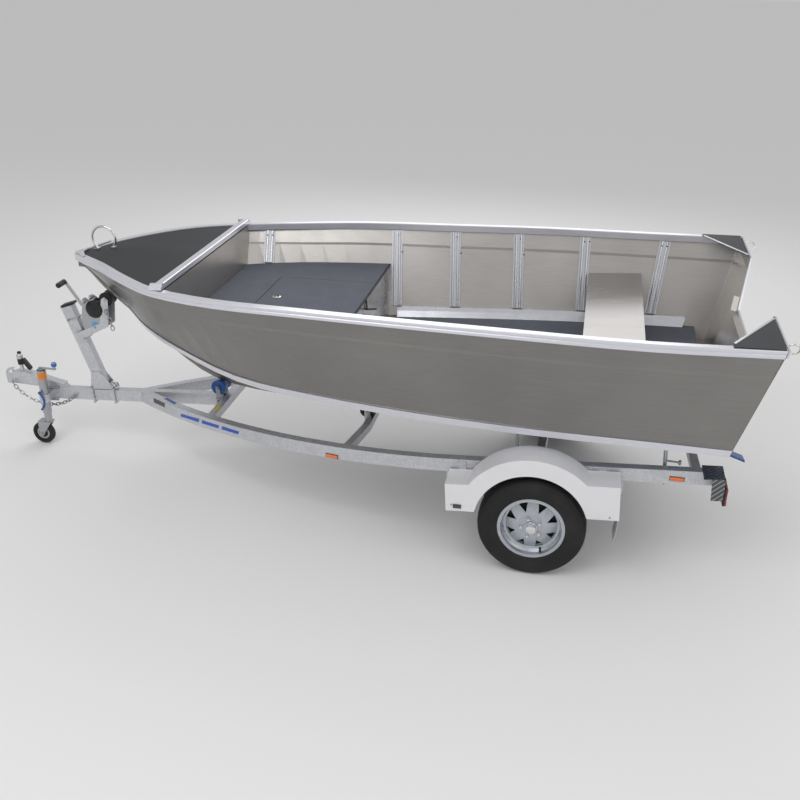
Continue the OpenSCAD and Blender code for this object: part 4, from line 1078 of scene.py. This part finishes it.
@dataclass
class Hull(Assembly):
    """The welded shell with its gunwales, deck and rings.

    Attributes:
        screw: Radius of the screw heads that hold the ribs to the gunwale.
        rib_middle: From a rib's aft edge to the middle of its flared head.
        screw_offset: From there to each of its two screws.
        bead: Radius of the weld beads.
        lip: Width and height of the folded edge of a stern plate.
    """

    screw: float = 5.0
    rib_middle: float = 38.0
    screw_offset: float = 15.0
    bead: float = 2.2
    lip: tuple[float, float] = (13.0, 7.0)

    def __post_init__(self) -> None:
        self.looks = {
            "hull_bottom": Look.HULL, "hull_side_port": Look.HULL, "hull_side_starboard": Look.HULL,
            "chine_rails": Look.BRIGHT, "keel_bar": Look.HULL, "gunwales": Look.BRIGHT,
            "bow_cap": Look.BRIGHT, "foredeck": Look.DECK, "deck_beam": Look.BRIGHT,
            "deck_bulkhead": Look.HULL, "bow_ring": Look.STAINLESS, "transom": Look.HULL,
            "transom_cap": Look.BRIGHT, "corner_plates": Look.TRIM, "stern_rings": Look.STAINLESS,
            "side_ribs": Look.RIB, "inner_rails": Look.RIB,
        }

    def rib_screws(self) -> None:
        """Two screws through the flared head of each rib."""
        mesh = Mesh()
        for low, high, middle in self.surface.solids("side_ribs"):
            out = Vector((0, math.copysign(1, middle.y), 0))
            for offset in (-self.screw_offset, self.screw_offset):
                start = Vector((low.x + self.rib_middle + offset, 0, high.z - 30))
                mesh.rivet(seated(*self.surface.first("side_ribs", start, DOWN * 4, out)), self.screw)
        self.shop.piece("rib_screws", mesh, Look.LABEL, "dark_trim")

    def ring_bolts(self) -> None:
        """Screws through the feet of the bow hoop."""
        mesh = Mesh()
        low, high, _ = self.surface.box("bow_ring")
        for x, way in ((low.x, 1), (high.x, -1)):
            for y in (-11, 11):
                start = Vector((x + way * 6, y, high.z + 20))
                mesh.rivet(seated(*self.surface.first("bow_ring", start, FORWARD * (way * 2), DOWN)), 3.2)
        self.shop.piece("bow_ring_screws", mesh, Look.ZINC, "stainless_steel")

    def transom_beads(self) -> None:
        """Weld beads down the transom's inner corners."""
        mesh = Mesh()
        for side in Side:
            path = []
            for height in BEAD_HEIGHTS:
                start = LAYOUT.matrix() @ Vector((BEAD_START, 0, height))
                wall, _ = self.surface.cast(f"hull_side_{side.name.lower()}", start, sideways(side))
                end, normal = self.surface.cast("transom", wall - sideways(side) * 16, -FORWARD)
                path.append(end + normal * 0.6)
            mesh.tube(path, self.bead, 8)
        self.shop.piece("transom_weld_beads", mesh, Look.ZINC, "aluminium_plate")

    def corner_lips(self) -> None:
        """The folded pale edge along the inner side of each stern corner plate."""
        places = [v.co / MM for v in frame["nodes"]["corner_plates"].data.vertices if v.co.y > 0]
        fore = max(places, key=lambda p: 2 * p.x - p.y)
        inner = min(places, key=lambda p: p.y)
        way = fore - inner
        start = (fore + inner) / 2 + Vector((-4, 3, 60))
        place, normal = self.surface.cast("corner_plates", start, DOWN)
        mesh = Mesh().box((way.length - 14, *self.lip), seated(place, normal, way), 2.2, 3)
        self.shop.piece("corner_lips", mesh.both_sides(), Look.BRIGHT, "aluminium_extrusion")

    def build(self) -> None:
        """Makes the hull's fastenings and welds."""
        self.corner_lips()
        self.rib_screws()
        self.ring_bolts()
        self.transom_beads()


@dataclass
class FitOut(Assembly):
    """Carpeted boards, hatch and thwart.

    Attributes:
        ring: Radius of the finger ring's plate.
        ring_inset: From the lid's fore edge to the ring.
        strap: Length of the rubber latch's handle.
        hatch_edge: Distance from the centre plane to the hatch's opening.
        platform_edge: Distance from there to the end of the platform's aft edge.
    """

    ring: float = 24.0
    ring_inset: float = 90.0
    strap: float = 118.0
    hatch_edge: float = 392.0
    platform_edge: float = 795.0

    def __post_init__(self) -> None:
        self.looks = {
            "floor_board": Look.CARPET, "platform": Look.CARPET, "hatch_lid": Look.CARPET,
            "platform_bulkhead": Look.INNER, "thwart": Look.THWART,
        }

    def finger_ring(self) -> None:
        """A lift ring let into the hatch lid."""
        _, high, _ = self.surface.box("hatch_lid")
        where = seated(*self.surface.below("hatch_lid", high.x - self.ring_inset, 0, high.z + 60))
        rim = self.ring + 3
        cup = Mesh().turned(
            [(0, 0.6), (10, 0.8), (13, 2.4), (19, 3.2), (23, 2.6), (rim, 0.2), (rim, -0.4), (0, -0.4)],
            where, 40,
        )
        self.shop.piece("hatch_ring_plate", cup, Look.STAINLESS, "stainless_steel", "hatch")
        circle = [
            where @ Vector((15 * math.cos(a), 15 * math.sin(a), 4.2))
            for a in (i * math.tau / 24 for i in range(24))
        ]
        ring = Mesh().tube(circle, 1.8, 8, closed=True)
        ring.box((5, 9, 3.2), where @ shift(15, 0, 3.6), 0.6)
        self.shop.piece("hatch_lift_ring", ring, Look.LABEL, "black_plastic", "hatch")

    def latch(self) -> None:
        """A rubber latch with a cross handle at the aft edge of the platform, and the drain bung below."""
        low, high, _ = self.surface.box("platform_bulkhead")
        start = Vector((low.x - 200, LATCH_Y, high.z - 24))
        place, normal = self.surface.cast("platform_bulkhead", start, FORWARD)
        where = seated(place, normal, sideways(Side.PORT))
        mesh = Mesh().box((30, 22, 5), where @ shift(0, -14, 2.8), 1.4)
        handle = [(-7, -22), (7, -22), (9, 6), (13, 38), (-13, 38), (-9, 6)]
        mesh.prism(handle, 4.5, where @ shift(0, 0, 5), 1.2)
        steps = (-1, -0.6, -0.2, 0.2, 0.6, 1)
        mesh.tube([where @ Vector((t * 6, 40 - t * t, 8 - t * self.strap / 2)) for t in steps], 4.6, 12)
        for x in (-10, 10):
            mesh.rivet(where @ shift(x, -16, 5.2), 2.6)
        self.shop.piece("hatch_latch", mesh, Look.RUBBER, "black_rubber")
        hole = seated(place + BUNG_OFFSET, normal)
        bung = Mesh().turned([(0, 0), (17, 0), (17, 2.5), (13, 4), (12, 9), (9, 11), (0, 11.5)], hole, 28)
        bung.box((20, 3.4, 5), hole @ shift(0, 0, 12.5), 1.2)
        self.shop.piece("drain_bung", bung, Look.BLACK, "black_plastic")

    def edge_trims(self) -> None:
        """Dark trims along the aft edges of the platform and the hatch."""
        mesh, lid = Mesh(), Mesh()
        self._trim(mesh, "platform", self.hatch_edge, self.platform_edge)
        self._trim(mesh, "platform", -self.platform_edge, -self.hatch_edge)
        self.shop.piece("platform_edge_trim", mesh, Look.RUBBER, "black_rubber")
        low, high, _ = self.surface.box("hatch_lid")
        self._trim(lid, "hatch_lid", low.y + 3, high.y - 3)
        self.shop.piece("hatch_edge_trim", lid, Look.RUBBER, "black_rubber", "hatch")

    def _trim(self, mesh: Mesh, node: str, start: float, end: float) -> None:
        """Lays one trim along a board's aft edge from one distance off the centre plane to another."""
        low, high, _ = self.surface.box(node)
        path = []
        for step in range(9):
            y = start + (end - start) * step / 8
            top, _ = self.surface.below(node, low.x + 8, y, high.z + 80)
            path.append(Vector((low.x + 3.4, y, top.z + 0.3)))
        mesh.tube(path, 2.6, 8)

    def thwart_rivets(self) -> None:
        """Rivets along the thwart's flange and its end brackets."""
        mesh = Mesh()
        low, high, _ = self.surface.box("thwart")
        for side in Side:
            for x in (low.x + 34, (low.x + high.x) / 2, high.x - 34):
                for inset in (26, 60):
                    found = self.surface.below("thwart", x, side.value * (high.y - inset), high.z + 60)
                    mesh.rivet(seated(*found), 4.4)
        self.shop.piece("thwart_rivets", mesh, Look.ZINC, "aluminium_plate")

    def build(self) -> None:
        """Makes the hatch's fittings, trims and rivets."""
        self.finger_ring()
        self.latch()
        self.edge_trims()
        self.thwart_rivets()


@dataclass
class TrailerFrame(Assembly):
    """Beams, cross members, rollers, skids and guards.

    Attributes:
        reflector: Length, height and thickness of a side reflector.
        stud: Radius of the threaded studs under the first cross member.
    """

    reflector: tuple[float, float, float] = (72.0, 20.0, 6.0)
    stud: float = 6.0

    def __post_init__(self) -> None:
        self.looks = {
            "drawbar": Look.GALVANISED, "side_beam_port": Look.GALVANISED,
            "side_beam_starboard": Look.GALVANISED, "cross_members": Look.GALVANISED,
            "axle": Look.SPRING, "leaf_springs": Look.SPRING, "spring_hangers": Look.GALVANISED,
            "mudguards": Look.WHITE, "guard_brackets": Look.GALVANISED, "mud_flaps": Look.FLAP,
            "bunk_posts": Look.ZINC, "bunk_skids": Look.BLUE, "keel_roller_fore": Look.BLUE,
            "keel_roller_mid": Look.RUBBER, "roller_brackets": Look.ZINC,
            "rear_steps": Look.CHECKER, "tail_lamps": Look.RED_LENS,
        }

    def reflectors(self) -> None:
        """An amber reflector in a tray at each end of both side beams."""
        tray, lens = Mesh(), Mesh()
        length, height, depth = self.reflector
        for spot in (FORE_REFLECTOR, AFT_REFLECTOR):
            place, normal = self.surface.seen(spot)
            where = seated(place, normal)
            tray.box((length + 5, height + 5, 3.4), where @ shift(z=1.6), 1.2)
            lens.box((length, height, depth), where @ shift(z=depth / 2 + 0.8), 2.0)
        self.shop.piece("reflector_trays", tray.both_sides(), Look.BLACK, "black_plastic")
        self.shop.piece("side_reflectors", lens.both_sides(), Look.AMBER_LENS, "red_lens")

    def labels(self) -> None:
        """Plain labels and a plain stripe where the photograph shows labels."""
        for name, (node, corners, look) in LABELS.items():
            self.label(name, node, corners, look)

    def hanger_bolts(self) -> None:
        """Pin heads and nuts at the ends of the springs."""
        mesh = Mesh()
        low, high, _ = self.surface.box("spring_hangers")
        for side in Side:
            for x in (low.x + HANGER_PIN, high.x - HANGER_PIN):
                start = Vector((x, side.value * (high.y + 60), self._beam_foot(x) - PIN_DEPTH))
                place, _ = self.surface.cast("spring_hangers", start, -sideways(side))
                mesh.bolt(seated(place, sideways(side)), 19, 9)
        self.shop.piece("spring_pin_nuts", mesh, Look.ZINC, "galvanised_steel")

    def _beam_foot(self, x: float) -> float:
        """Returns how high the port beam's underside lies."""
        start = Vector((x, self.surface.box("side_beam_port")[1].y - 25, 200))
        return self.surface.cast("side_beam_port", start, UP)[0].z

    def beam_bolts(self) -> None:
        """Nuts under the beams below the skid posts, and the posts' cross bolts."""
        mesh, handles = Mesh(), Mesh()
        low, high, _ = self.surface.box("bunk_posts")
        for x in (low.x + 25, high.x - 25):
            foot = Vector((x, high.y + 18, self._beam_foot(x)))
            mesh.bolt(seated(foot, DOWN), 17, 9)
            mesh.turned([(0, 0), (5, 0), (5, 24), (0, 25)], seated(foot, DOWN), 12)
            clamp = Vector((x + 14, high.y - 36, foot.z + CLAMP_RISE))
            handles.turned(
                [(0, 0), (5, 0), (5, 78), (13, 79), (14, 86), (11, 92), (0, 93)],
                at(clamp, Vector((-1, 0, -0.05))), 16,
            )
        self.shop.piece("skid_post_nuts", mesh.both_sides(), Look.ZINC, "galvanised_steel")
        self.shop.piece("skid_clamp_bolts", handles.both_sides(), Look.ZINC, "galvanised_steel")

    def roller_studs(self) -> None:
        """Threaded studs and nuts that hang from the fore roller's bracket."""
        mesh = Mesh()
        low, _, _ = self.surface.box("keel_roller_fore")
        _, top, _ = self.surface.box("roller_brackets")
        profile = [(0, 0)]
        for thread in range(18):
            z = thread * 3.0
            profile += [(self.stud, z), (self.stud - 0.9, z + 1.5)]
        profile += [(self.stud - 1, 55), (0, 56)]
        for side in Side:
            place = Vector((top.x - 14, side.value * (top.y - 0.5), low.z - 22))
            where = at(place, DOWN)
            mesh.turned(profile, where, 16)
            mesh.bolt(where @ shift(z=14), 17, 10)
            mesh.box((26, 18, 8), at(place + UP * 2), 1.5)
        self.shop.piece("roller_studs", mesh, Look.ZINC, "galvanised_steel")
        ends = Mesh()
        for node in ("keel_roller_fore", "keel_roller_mid"):
            _, _, middle = self.surface.box(node)
            for side in Side:
                start = Vector((middle.x, side.value * 200, middle.z))
                tip, _ = self.surface.cast("roller_brackets", start, -sideways(side))
                ends.bolt(seated(Vector((middle.x, tip.y, middle.z)), sideways(side)), 19, 7)
        self.shop.piece("roller_pin_nuts", ends, Look.ZINC, "galvanised_steel")

    def guard_trims(self) -> None:
        """The rolled lip round each wheel arch, the seam over it and the screws of the wings."""
        lip, seam, screws = Mesh(), Mesh(), Mesh()
        low, high, _ = self.surface.box("mudguards")
        lean = LAYOUT.lean()
        axle = joint_place("wheel_port_spin")
        centre = Vector((axle.x, 0, axle.z)) + lean @ GUARD_MIDDLE
        for side in Side:
            out = Vector((0, side.value * (high.y - 4), 0))
            path = [
                centre + out + lean @ (Vector((math.cos(a), 0, math.sin(a))) * LIP_RADIUS)
                for a in (math.radians(15 + 150 * step / 40) for step in range(41))
            ]
            lip.tube(path, 5.0, 10)
            way = lean @ Vector((math.cos(SEAM_ANGLE), 0, math.sin(SEAM_ANGLE)))
            path = []
            for step in range(9):
                start = centre + way * 600 + Vector((0, side.value * (low.y * -1 - 8 - step * 18), 0))
                path.append(self.surface.cast("mudguards", start, -way)[0])
            seam.tube(path, 1.8, 8)
            for x, way in ((low.x + 40, 1), (high.x - 40, -1)):
                start = Vector((x, side.value * (high.y + 40), low.z + 24))
                place, normal = self.surface.first("mudguards", start, Vector((way, 0, 4)), -sideways(side))
                screws.rivet(seated(place + UP * 16, normal), 6)
        self.shop.piece("guard_lips", lip, Look.WHITE, "white_paint")
        self.shop.piece("guard_seams", seam, Look.WHITE, "white_paint")
        self.shop.piece("guard_screws", screws, Look.ZINC, "galvanised_steel")
        where = seated(*self.surface.seen(GUARD_CLIP))
        clip = Mesh().box((44, 24, 7), where @ shift(z=3), 3, 3)
        for x in (-10, 10):
            clip.box((12, 12, 10), where @ shift(x, 0, 4), 2)
        self.shop.piece("guard_clip", clip, Look.LABEL, "black_plastic")

    def lamps(self) -> None:
        """Black housings with their lenses behind the steps."""
        housing, lens = Mesh(), Mesh()
        low, high, _ = self.surface.box("tail_lamps")
        middle = Vector(((low.x + high.x) / 2 + 4, high.y - 70, (low.z + high.z) / 2))
        size = Vector((12, 146, 106))
        housing.box(size, at(middle), 5, 3)
        for dy, width in ((-44, 46), (6, 42), (48, 32)):
            lens.box((5, width, 84), at(middle + Vector((-size.x / 2 - 5.4, dy, 0))), 2)
        self.shop.piece("lamp_housings", housing.both_sides(), Look.BLACK, "black_plastic")
        self.shop.piece("lamp_lenses", lens.both_sides(), Look.RED_LENS, "red_lens")

    def build(self) -> None:
        """Makes the trailer frame's fittings."""
        self.reflectors()
        self.labels()
        self.hanger_bolts()
        self.beam_bolts()
        self.roller_studs()
        self.guard_trims()
        self.lamps()


@dataclass
class Wheel(Assembly):
    """One road wheel.

    Attributes:
        side: Which side of the rig it is on.
        nut_circle: Radius of the circle of wheel nuts.
        nut_corner: From a nut's middle to its corner.
        disc_face: How far the disc's face stands outboard of the wheel's centre.
        valve_circle: Distance of the valve from the wheel's axis.
    """

    side: Side = Side.PORT
    nut_circle: float = 54.0
    nut_corner: float = 10.8
    disc_face: float = 40.4
    valve_circle: float = 152.0

    def __post_init__(self) -> None:
        name = self.side.name.lower()
        self.looks = {f"rim_{name}": Look.RIM, f"tyre_{name}": Look.TYRE}

    def hub(self) -> Matrix:
        """Returns the transform of the wheel's centre, its Z pointing outboard."""
        return seated(joint_place(f"wheel_{self.side.name.lower()}_spin"), sideways(self.side))

    def build(self) -> None:
        """Makes the nuts, the dust cap, the valve, and a guessed drum behind the disc that is coloured near black
        as painted shade.
        """
        name = self.side.name.lower()
        body = f"wheel_{name}"
        hub = self.hub()
        nuts = Mesh()
        first = 0 if self.side is Side.PORT else 180
        for i in range(5):
            where = hub @ turn(i * 72 * self.side.value + first, "Z")
            where = where @ shift(self.nut_circle, 0, self.disc_face)
            nuts.prism(hexagon(self.nut_corner), 15, where, 1.0)
            nuts.turned([(0, 13.5), (9.2, 13.5), (9.0, 17), (6.4, 21.5), (0, 23.4)], where, 20)
        self.shop.piece(f"wheel_nuts_{name}", nuts, Look.CHROME, "stainless_steel", body)
        cap = Mesh().turned(
            [(0, 46), (30.4, 46), (31.2, 50), (28.4, 52), (28.0, 70), (26.2, 74.5), (20, 77.6), (10, 79),
             (0, 79.4)], hub, 48,
        )
        self.shop.piece(f"dust_cap_{name}", cap, Look.CHROME, "stainless_steel", body)
        aside, up = self.valve_circle * math.cos(VALVE_ANGLE), self.valve_circle * math.sin(VALVE_ANGLE)
        foot = hub @ Vector((-aside, -up * self.side.value, 26))
        valve = Mesh().turned(
            [(0, -4), (7, -4), (6, 0), (4.6, 6), (4.2, 24), (3.4, 25), (3.8, 26), (3.8, 34), (2.8, 35.5),
             (0, 36)], at(foot, sideways(self.side)), 16,
        )
        self.shop.piece(f"tyre_valve_{name}", valve, Look.RUBBER, "black_rubber", body)
        # A guessed drum behind the disc, coloured near black as painted shade for the disc's windows
        drum = Mesh().turned(
            [(0, -30), (126, -30), (134, -26), (138, -10), (136, -4), (128, 0), (60, 4), (0, 4)], hub, 56
        )
        self.shop.piece(f"hub_drum_{name}", drum, Look.SHADOW, "black_plastic", body)


@dataclass
class Winch(Assembly):
    """Winch, post and bow roller.

    Attributes:
        grip: Length of the crank's grip.
    """

    grip: float = 78.0

    def __post_init__(self) -> None:
        self.looks = {
            "winch_post": Look.GALVANISED, "winch_arm": Look.GALVANISED, "winch_frame": Look.ZINC,
            "winch_drum": Look.BLACK, "winch_crank": Look.ZINC, "bow_roller": Look.RUBBER,
            "snub_chain": Look.ZINC,
        }

    def crank_grip(self) -> None:
        """The moulded grip over the crank's end."""
        _, high, _ = self.surface.box("winch_crank")
        start = Vector((high.x - 8, high.y + 60, high.z - 8))
        tip, _ = self.surface.first("winch_crank", start, Vector((-2, 0, -2)), -sideways(Side.PORT))
        foot = Vector((tip.x - 8, high.y - self.grip, tip.z - 8))
        grip = Mesh().turned(
            [(15.2, 0), (17.0, 1), (17.6, 6), (16.4, 11), (17.0, self.grip * 0.5), (16.2, self.grip - 12),
             (17.4, self.grip - 7), (16.4, self.grip - 1), (12, self.grip + 1.4), (0, self.grip + 1.8)],
            at(foot, sideways(Side.PORT)), 32,
        )
        self.shop.piece("winch_grip", grip, Look.BLACK, "black_plastic", "winch_crank_body")

    def cover(self) -> None:
        """The black domed cover outside the drum, with its stepped rim."""
        _, high, _ = self.surface.box("winch_frame")
        place = joint_place("winch_drum_spin")
        place.y = high.y
        dome = Mesh().turned(
            [(0, -0.2), (58, -0.2), (59, 2), (58, 5), (54, 6), (53, 9), (46, 13), (30, 15.6), (12, 16),
             (11, 18), (0, 18.4)], at(place, sideways(Side.PORT)), 56,
        )
        rim = at(place + Vector((0, 5.4, 0)), sideways(Side.PORT))
        for i in range(6):
            dome.rivet(rim @ turn(i * 60, "Z") @ shift(56, 0, 0), 3)
        self.shop.piece("winch_cover", dome, Look.BLACK, "black_plastic")

    def side_label(self) -> None:
        """A plain pale blue label on the winch's side plate."""
        low, high, _ = self.surface.box("winch_frame")
        start = Vector((low.x + 66, high.y + 60, low.z + 42))
        place, normal = self.surface.cast("winch_frame", start, -sideways(Side.PORT))
        where = seated(place, normal, Vector((-1, 0, 0.1)))
        mesh = Mesh().prism([(-24, -16), (22, -14), (26, 8), (12, 30), (-18, 26)], LABEL_THICK, where, 0.3)
        self.shop.piece("winch_label", mesh, Look.SKY, "blue_plastic")

    def bolts(self) -> None:
        """Bolts through the arm and the frame, and nuts on the U-bolts of the post's foot."""
        mesh = Mesh()
        for node, (share_x, share_z) in WINCH_BOLTS.items():
            low, high, _ = self.surface.box(node)
            x, z = low.x + (high.x - low.x) * share_x, low.z + (high.z - low.z) * share_z
            start = Vector((x, high.y + 80, z))
            place, normal = self.surface.first(node, start, UP * 3, -sideways(Side.PORT))
            mesh.bolt(seated(place + UP * 12, normal), 15, 6)
        layout = LAYOUT.matrix()
        roller = layout.inverted() @ joint_place("bow_roller_spin")
        up = LAYOUT.lean() @ UP
        for x in U_BOLTS:
            start = layout @ Vector((roller.x + POST_AHEAD + x, U_BOLT_Y, roller.z - 300))
            place, _ = self.surface.cast("winch_post", start, -up)
            mesh.bolt(seated(place - up * U_BOLT_STAND, up), 17, 8)
        self.shop.piece("winch_bolts", mesh.both_sides(), Look.ZINC, "galvanised_steel")

    def post_trims(self) -> None:
        """The post's black cap and its two clamp bands."""
        way = (LAYOUT.lean() @ Vector((math.sin(POST_LEAN), 0, math.cos(POST_LEAN)))).normalized()
        _, high, _ = self.surface.box("winch_post")
        top, _ = self.surface.below("winch_post", high.x - 45, 0, high.z + 80)
        across = seated(top, way)
        cap = Mesh().box((88, 62, 17), across @ shift(-4, 0, -2), 5, 3)
        self.shop.piece("post_cap", cap, Look.BLACK, "black_plastic")
        bands = Mesh()
        for down in BAND_DROPS:
            bands.box((86, 58, 8), across @ shift(-4, 0, -down), 1.2)
            for y in (-31, 31):
                bands.bolt(across @ shift(30, y, -down) @ turn(90 if y < 0 else -90, "X"), 12, 5)
        self.shop.piece("post_bands", bands, Look.ZINC, "galvanised_steel")

    def plug(self) -> None:
        """The trailer's wiring plug, stowed in its clip behind the post."""
        place, _ = self.surface.seen(PLUG_SEAT)
        seat = seated(place, UP)
        where = seat @ shift(0, 0, 24) @ turn(62, "Y") @ turn(20, "X")
        shell = Mesh().turned(
            [(0, -34), (9, -34), (10, -20), (15, -16), (20, -12), (21, 0), (24, 2), (24, 12), (21, 14),
             (20, 30), (16, 31), (16, 20), (0, 20)], where, 32,
        )
        self.shop.piece("wiring_plug", shell, Look.ZINC, "stainless_steel")
        lid = Mesh().turned([(0, 31), (19, 31), (20.5, 34), (18, 38), (0, 39)], where @ shift(6, 0, 1), 32)
        lid.box((10, 12, 12), where @ shift(26, 0, 26), 2)
        self.shop.piece("wiring_plug_lid", lid, Look.BLACK, "black_plastic")
        clip = Mesh().box((46, 34, 3), seat @ shift(0, 0, 1.6), 1)
        clip.box((4, 30, 26), seat @ shift(-16, 0, 14), 1)
        self.shop.piece("plug_clip", clip, Look.ZINC, "galvanised_steel")

    def build(self) -> None:
        """Makes the winch's and the post's fittings."""
        self.crank_grip()
        self.cover()
        self.side_label()
        self.bolts()
        self.post_trims()
        self.plug()


@dataclass
class TowEnd(Assembly):
    """Coupling, chain and jockey wheel.

    Attributes:
        lever: Length of the clamp lever.
    """

    lever: float = 118.0

    def __post_init__(self) -> None:
        self.looks = {
            "coupling": Look.GALVANISED, "coupling_lever": Look.BLACK, "safety_chain": Look.ZINC,
            "jack_clamp": Look.GALVANISED, "jack_tube": Look.ZINC, "jack_fork": Look.ZINC,
            "jack_wheel": Look.RUBBER,
        }

    def jack_trims(self) -> None:
        """Blue knob, orange band and blue clamp lever of the jack."""
        low, high, _ = self.surface.box("jack_tube")
        middle_y = (low.y + high.y) / 2
        knob = Mesh().turned(
            [(0, -0.6), (11, -0.6), (14, 1), (17.4, 6), (18, 14), (17, 21), (13.6, 25.4), (8, 26.4),
             (0, 26.6)], at(Vector((low.x + 15, middle_y, high.z - 26.3))), 28,
        )
        self.shop.piece("jack_knob", knob, Look.KNOB, "blue_plastic")
        axis = Vector((high.x - 28.5, middle_y, high.z))
        band = Mesh().turned([(28.3, 0), (29.2, 0.4), (29.2, 45), (28.3, 45.4)], at(axis + DOWN * 118), 48)
        self.shop.piece("jack_band", band, Look.ORANGE, "black_plastic")
        profile = [(28.2, 0), (31, 1), (31.4, 8), (30.4, 11), (28.2, 12)]
        collar = Mesh().turned(profile, at(axis + DOWN * 70), 48)
        self.shop.piece("jack_collar", collar, Look.ZINC, "galvanised_steel")
        _, clamp, _ = self.surface.box("jack_clamp")
        path = []
        for step in range(13):
            share = step / 12
            bow = math.sin(math.pi * share)
            height = clamp.z + 6 - self.lever * share
            path.append(Vector((axis.x + 8 - 26 * bow, clamp.y + 8 + 5 * bow, height)))
        lever = Mesh().tube(path, 6.2, 12)
        lever.disc(11, 12, at(path[0] - Vector((0, 6, 0)), sideways(Side.PORT)), 20, 2)
        lever.turned([(0, -7), (6, -6), (8.6, 0), (6, 6), (0, 7)], at(path[-1]), 16)
        self.shop.piece("jack_lever", lever, Look.BLUE, "blue_plastic")

    def jockey_hub(self) -> None:
        """Hub plates and rivets of the jockey wheel, and its axle nuts."""
        centre = joint_place("jockey_spin")
        plates, nuts = Mesh(), Mesh()
        low, high, _ = self.surface.box("jack_wheel")
        fork_low, fork_high, _ = self.surface.box("jack_fork")
        for side in Side:
            out = sideways(side)
            rim = at(centre + out * ((high.y - low.y) / 2 - 9.6), out)
            plates.turned([(21.5, 0), (40, 0), (44, 2.4), (42, 3.6), (24, 2.2), (21.5, 2.2)], rim, 40)
            for i in range(5):
                plates.rivet(rim @ turn(i * 72, "Z") @ shift(33, 0, 2.2), 3.2)
            tip = centre.y + side.value * ((fork_high.y - fork_low.y) / 2)
            nuts.bolt(at(Vector((centre.x, tip - side.value * 5.6, centre.z)), out), 17, 4)
        self.shop.piece("jockey_hub_plates", plates, Look.ZINC, "galvanised_steel", "jockey")
        self.shop.piece("jockey_axle_nuts", nuts, Look.ZINC, "galvanised_steel", "jack_leg")

    def coupling_trims(self) -> None:
        """Bolts through the coupling, and the collar and grip of its release."""
        bolts = Mesh()
        low, high, _ = self.surface.box("coupling")
        for share in COUPLING_BOLTS:
            for side in Side:
                start = Vector((low.x + (high.x - low.x) * share, side.value * 200, 0))
                start.z = self._flank(start.x)
                place, normal = self.surface.cast("coupling", start, -sideways(side))
                bolts.bolt(seated(place, normal), 19, 8)
        self.shop.piece("coupling_bolts", bolts, Look.ZINC, "galvanised_steel")
        profile = [(0, 0.4), (11, 0.4), (13.6, 3), (13.2, 9), (9, 12), (0, 12.6)]
        knob = Mesh().turned(profile, at(self._knob_top()), 24)
        self.shop.piece("coupling_button", knob, Look.BLACK, "black_plastic")

    def _flank(self, x: float) -> float:
        """Returns the height of the bolts in the coupling's side."""
        return self.surface.below("coupling", x, 12, OVERHEAD)[0].z - 34

    def _knob_top(self) -> Vector:
        """Returns the middle of the coupling's highest level stretch."""
        low, high, _ = self.surface.box("coupling")
        found = []
        for x in range(int(low.x), int(high.x), 4):
            hit = self.surface.skin("coupling").hit(Vector((x, 0, OVERHEAD)) * MM, DOWN)
            if hit:
                found.append(hit[0] / MM)
        top = max(found, key=lambda p: p.z)
        level = [p for p in found if p.z > top.z - 4]
        return Vector((sum(p.x for p in level) / len(level), 0, top.z))

    def build(self) -> None:
        """Makes the fittings of the tow end."""
        self.jack_trims()
        self.jockey_hub()
        self.coupling_trims()


@dataclass
class Studio:
    """Pale floor, soft lamps and camera.

    Attributes:
        view: The photograph's viewpoint.
        floor: Half the floor's side in metres.
    """

    view: Viewpoint
    floor: float = 150.0

    def ground(self) -> None:
        """Lays the floor just under the wheels."""
        mesh = bmesh.new()
        bmesh.ops.create_grid(mesh, x_segments=4, y_segments=4, size=self.floor)
        data = bpy.data.meshes.new("floor")
        mesh.to_mesh(data)
        mesh.free()
        made = bpy.data.objects.new("floor", data)
        made.location.z = -MM
        bpy.context.scene.collection.objects.link(made)
        material = bpy.data.materials.new("pale_floor")
        material.use_nodes = True
        shader = material.node_tree.nodes["Principled BSDF"]
        shader.inputs["Base Color"].default_value = (0.90, 0.90, 0.90, 1)
        shader.inputs["Roughness"].default_value = 0.9
        data.materials.append(material)

    def lamp(self, name: str, place: Point, aim: Point, size: float, watts: float) -> None:
        """Hangs a square soft lamp.

        Args:
            name: The lamp's name.
            place: Where it hangs, in metres.
            aim: What it points at.
            size: Its side in metres.
            watts: Its power.
        """
        data = bpy.data.lights.new(name, "AREA")
        data.size = size
        data.energy = watts
        made = bpy.data.objects.new(name, data)
        made.location = place
        made.rotation_mode = "QUATERNION"
        made.rotation_quaternion = (Vector(aim) - Vector(place)).to_track_quat("-Z", "Y")
        bpy.context.scene.collection.objects.link(made)

    def build(self) -> None:
        """Lights the scene and points the camera."""
        self.ground()
        for name, (place, size, watts) in LAMPS.items():
            self.lamp(name, place, (0, 0, 0.6), size, watts)
        world = bpy.data.worlds.new("studio")
        world.use_nodes = True
        sky = world.node_tree.nodes["Background"]
        sky.inputs["Color"].default_value = (1, 1, 1, 1)
        sky.inputs["Strength"].default_value = WORLD_LEVEL
        bpy.context.scene.world = world
        bpy.context.scene.view_settings.view_transform = "Standard"
        self.view.camera()


def main() -> None:
    """Builds every sub-assembly in order."""
    logging.basicConfig(level=logging.INFO, format="%(message)s")
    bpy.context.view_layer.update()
    view = Viewpoint()
    shop = Workshop(Materials())
    surface = Surface(view)
    assemblies: list[Assembly] = [
        Hull(shop, surface),
        FitOut(shop, surface),
        TrailerFrame(shop, surface),
        Wheel(shop, surface, side=Side.PORT),
        Wheel(shop, surface, side=Side.STARBOARD),
        Winch(shop, surface),
        TowEnd(shop, surface),
    ]
    for assembly in assemblies:
        assembly.dress()
        assembly.build()
        log.info("%s dressed", type(assembly).__name__)
    Studio(view).build()
    log.info("%d pieces made", len(shop.made))


if __name__ == "__main__":
    main()
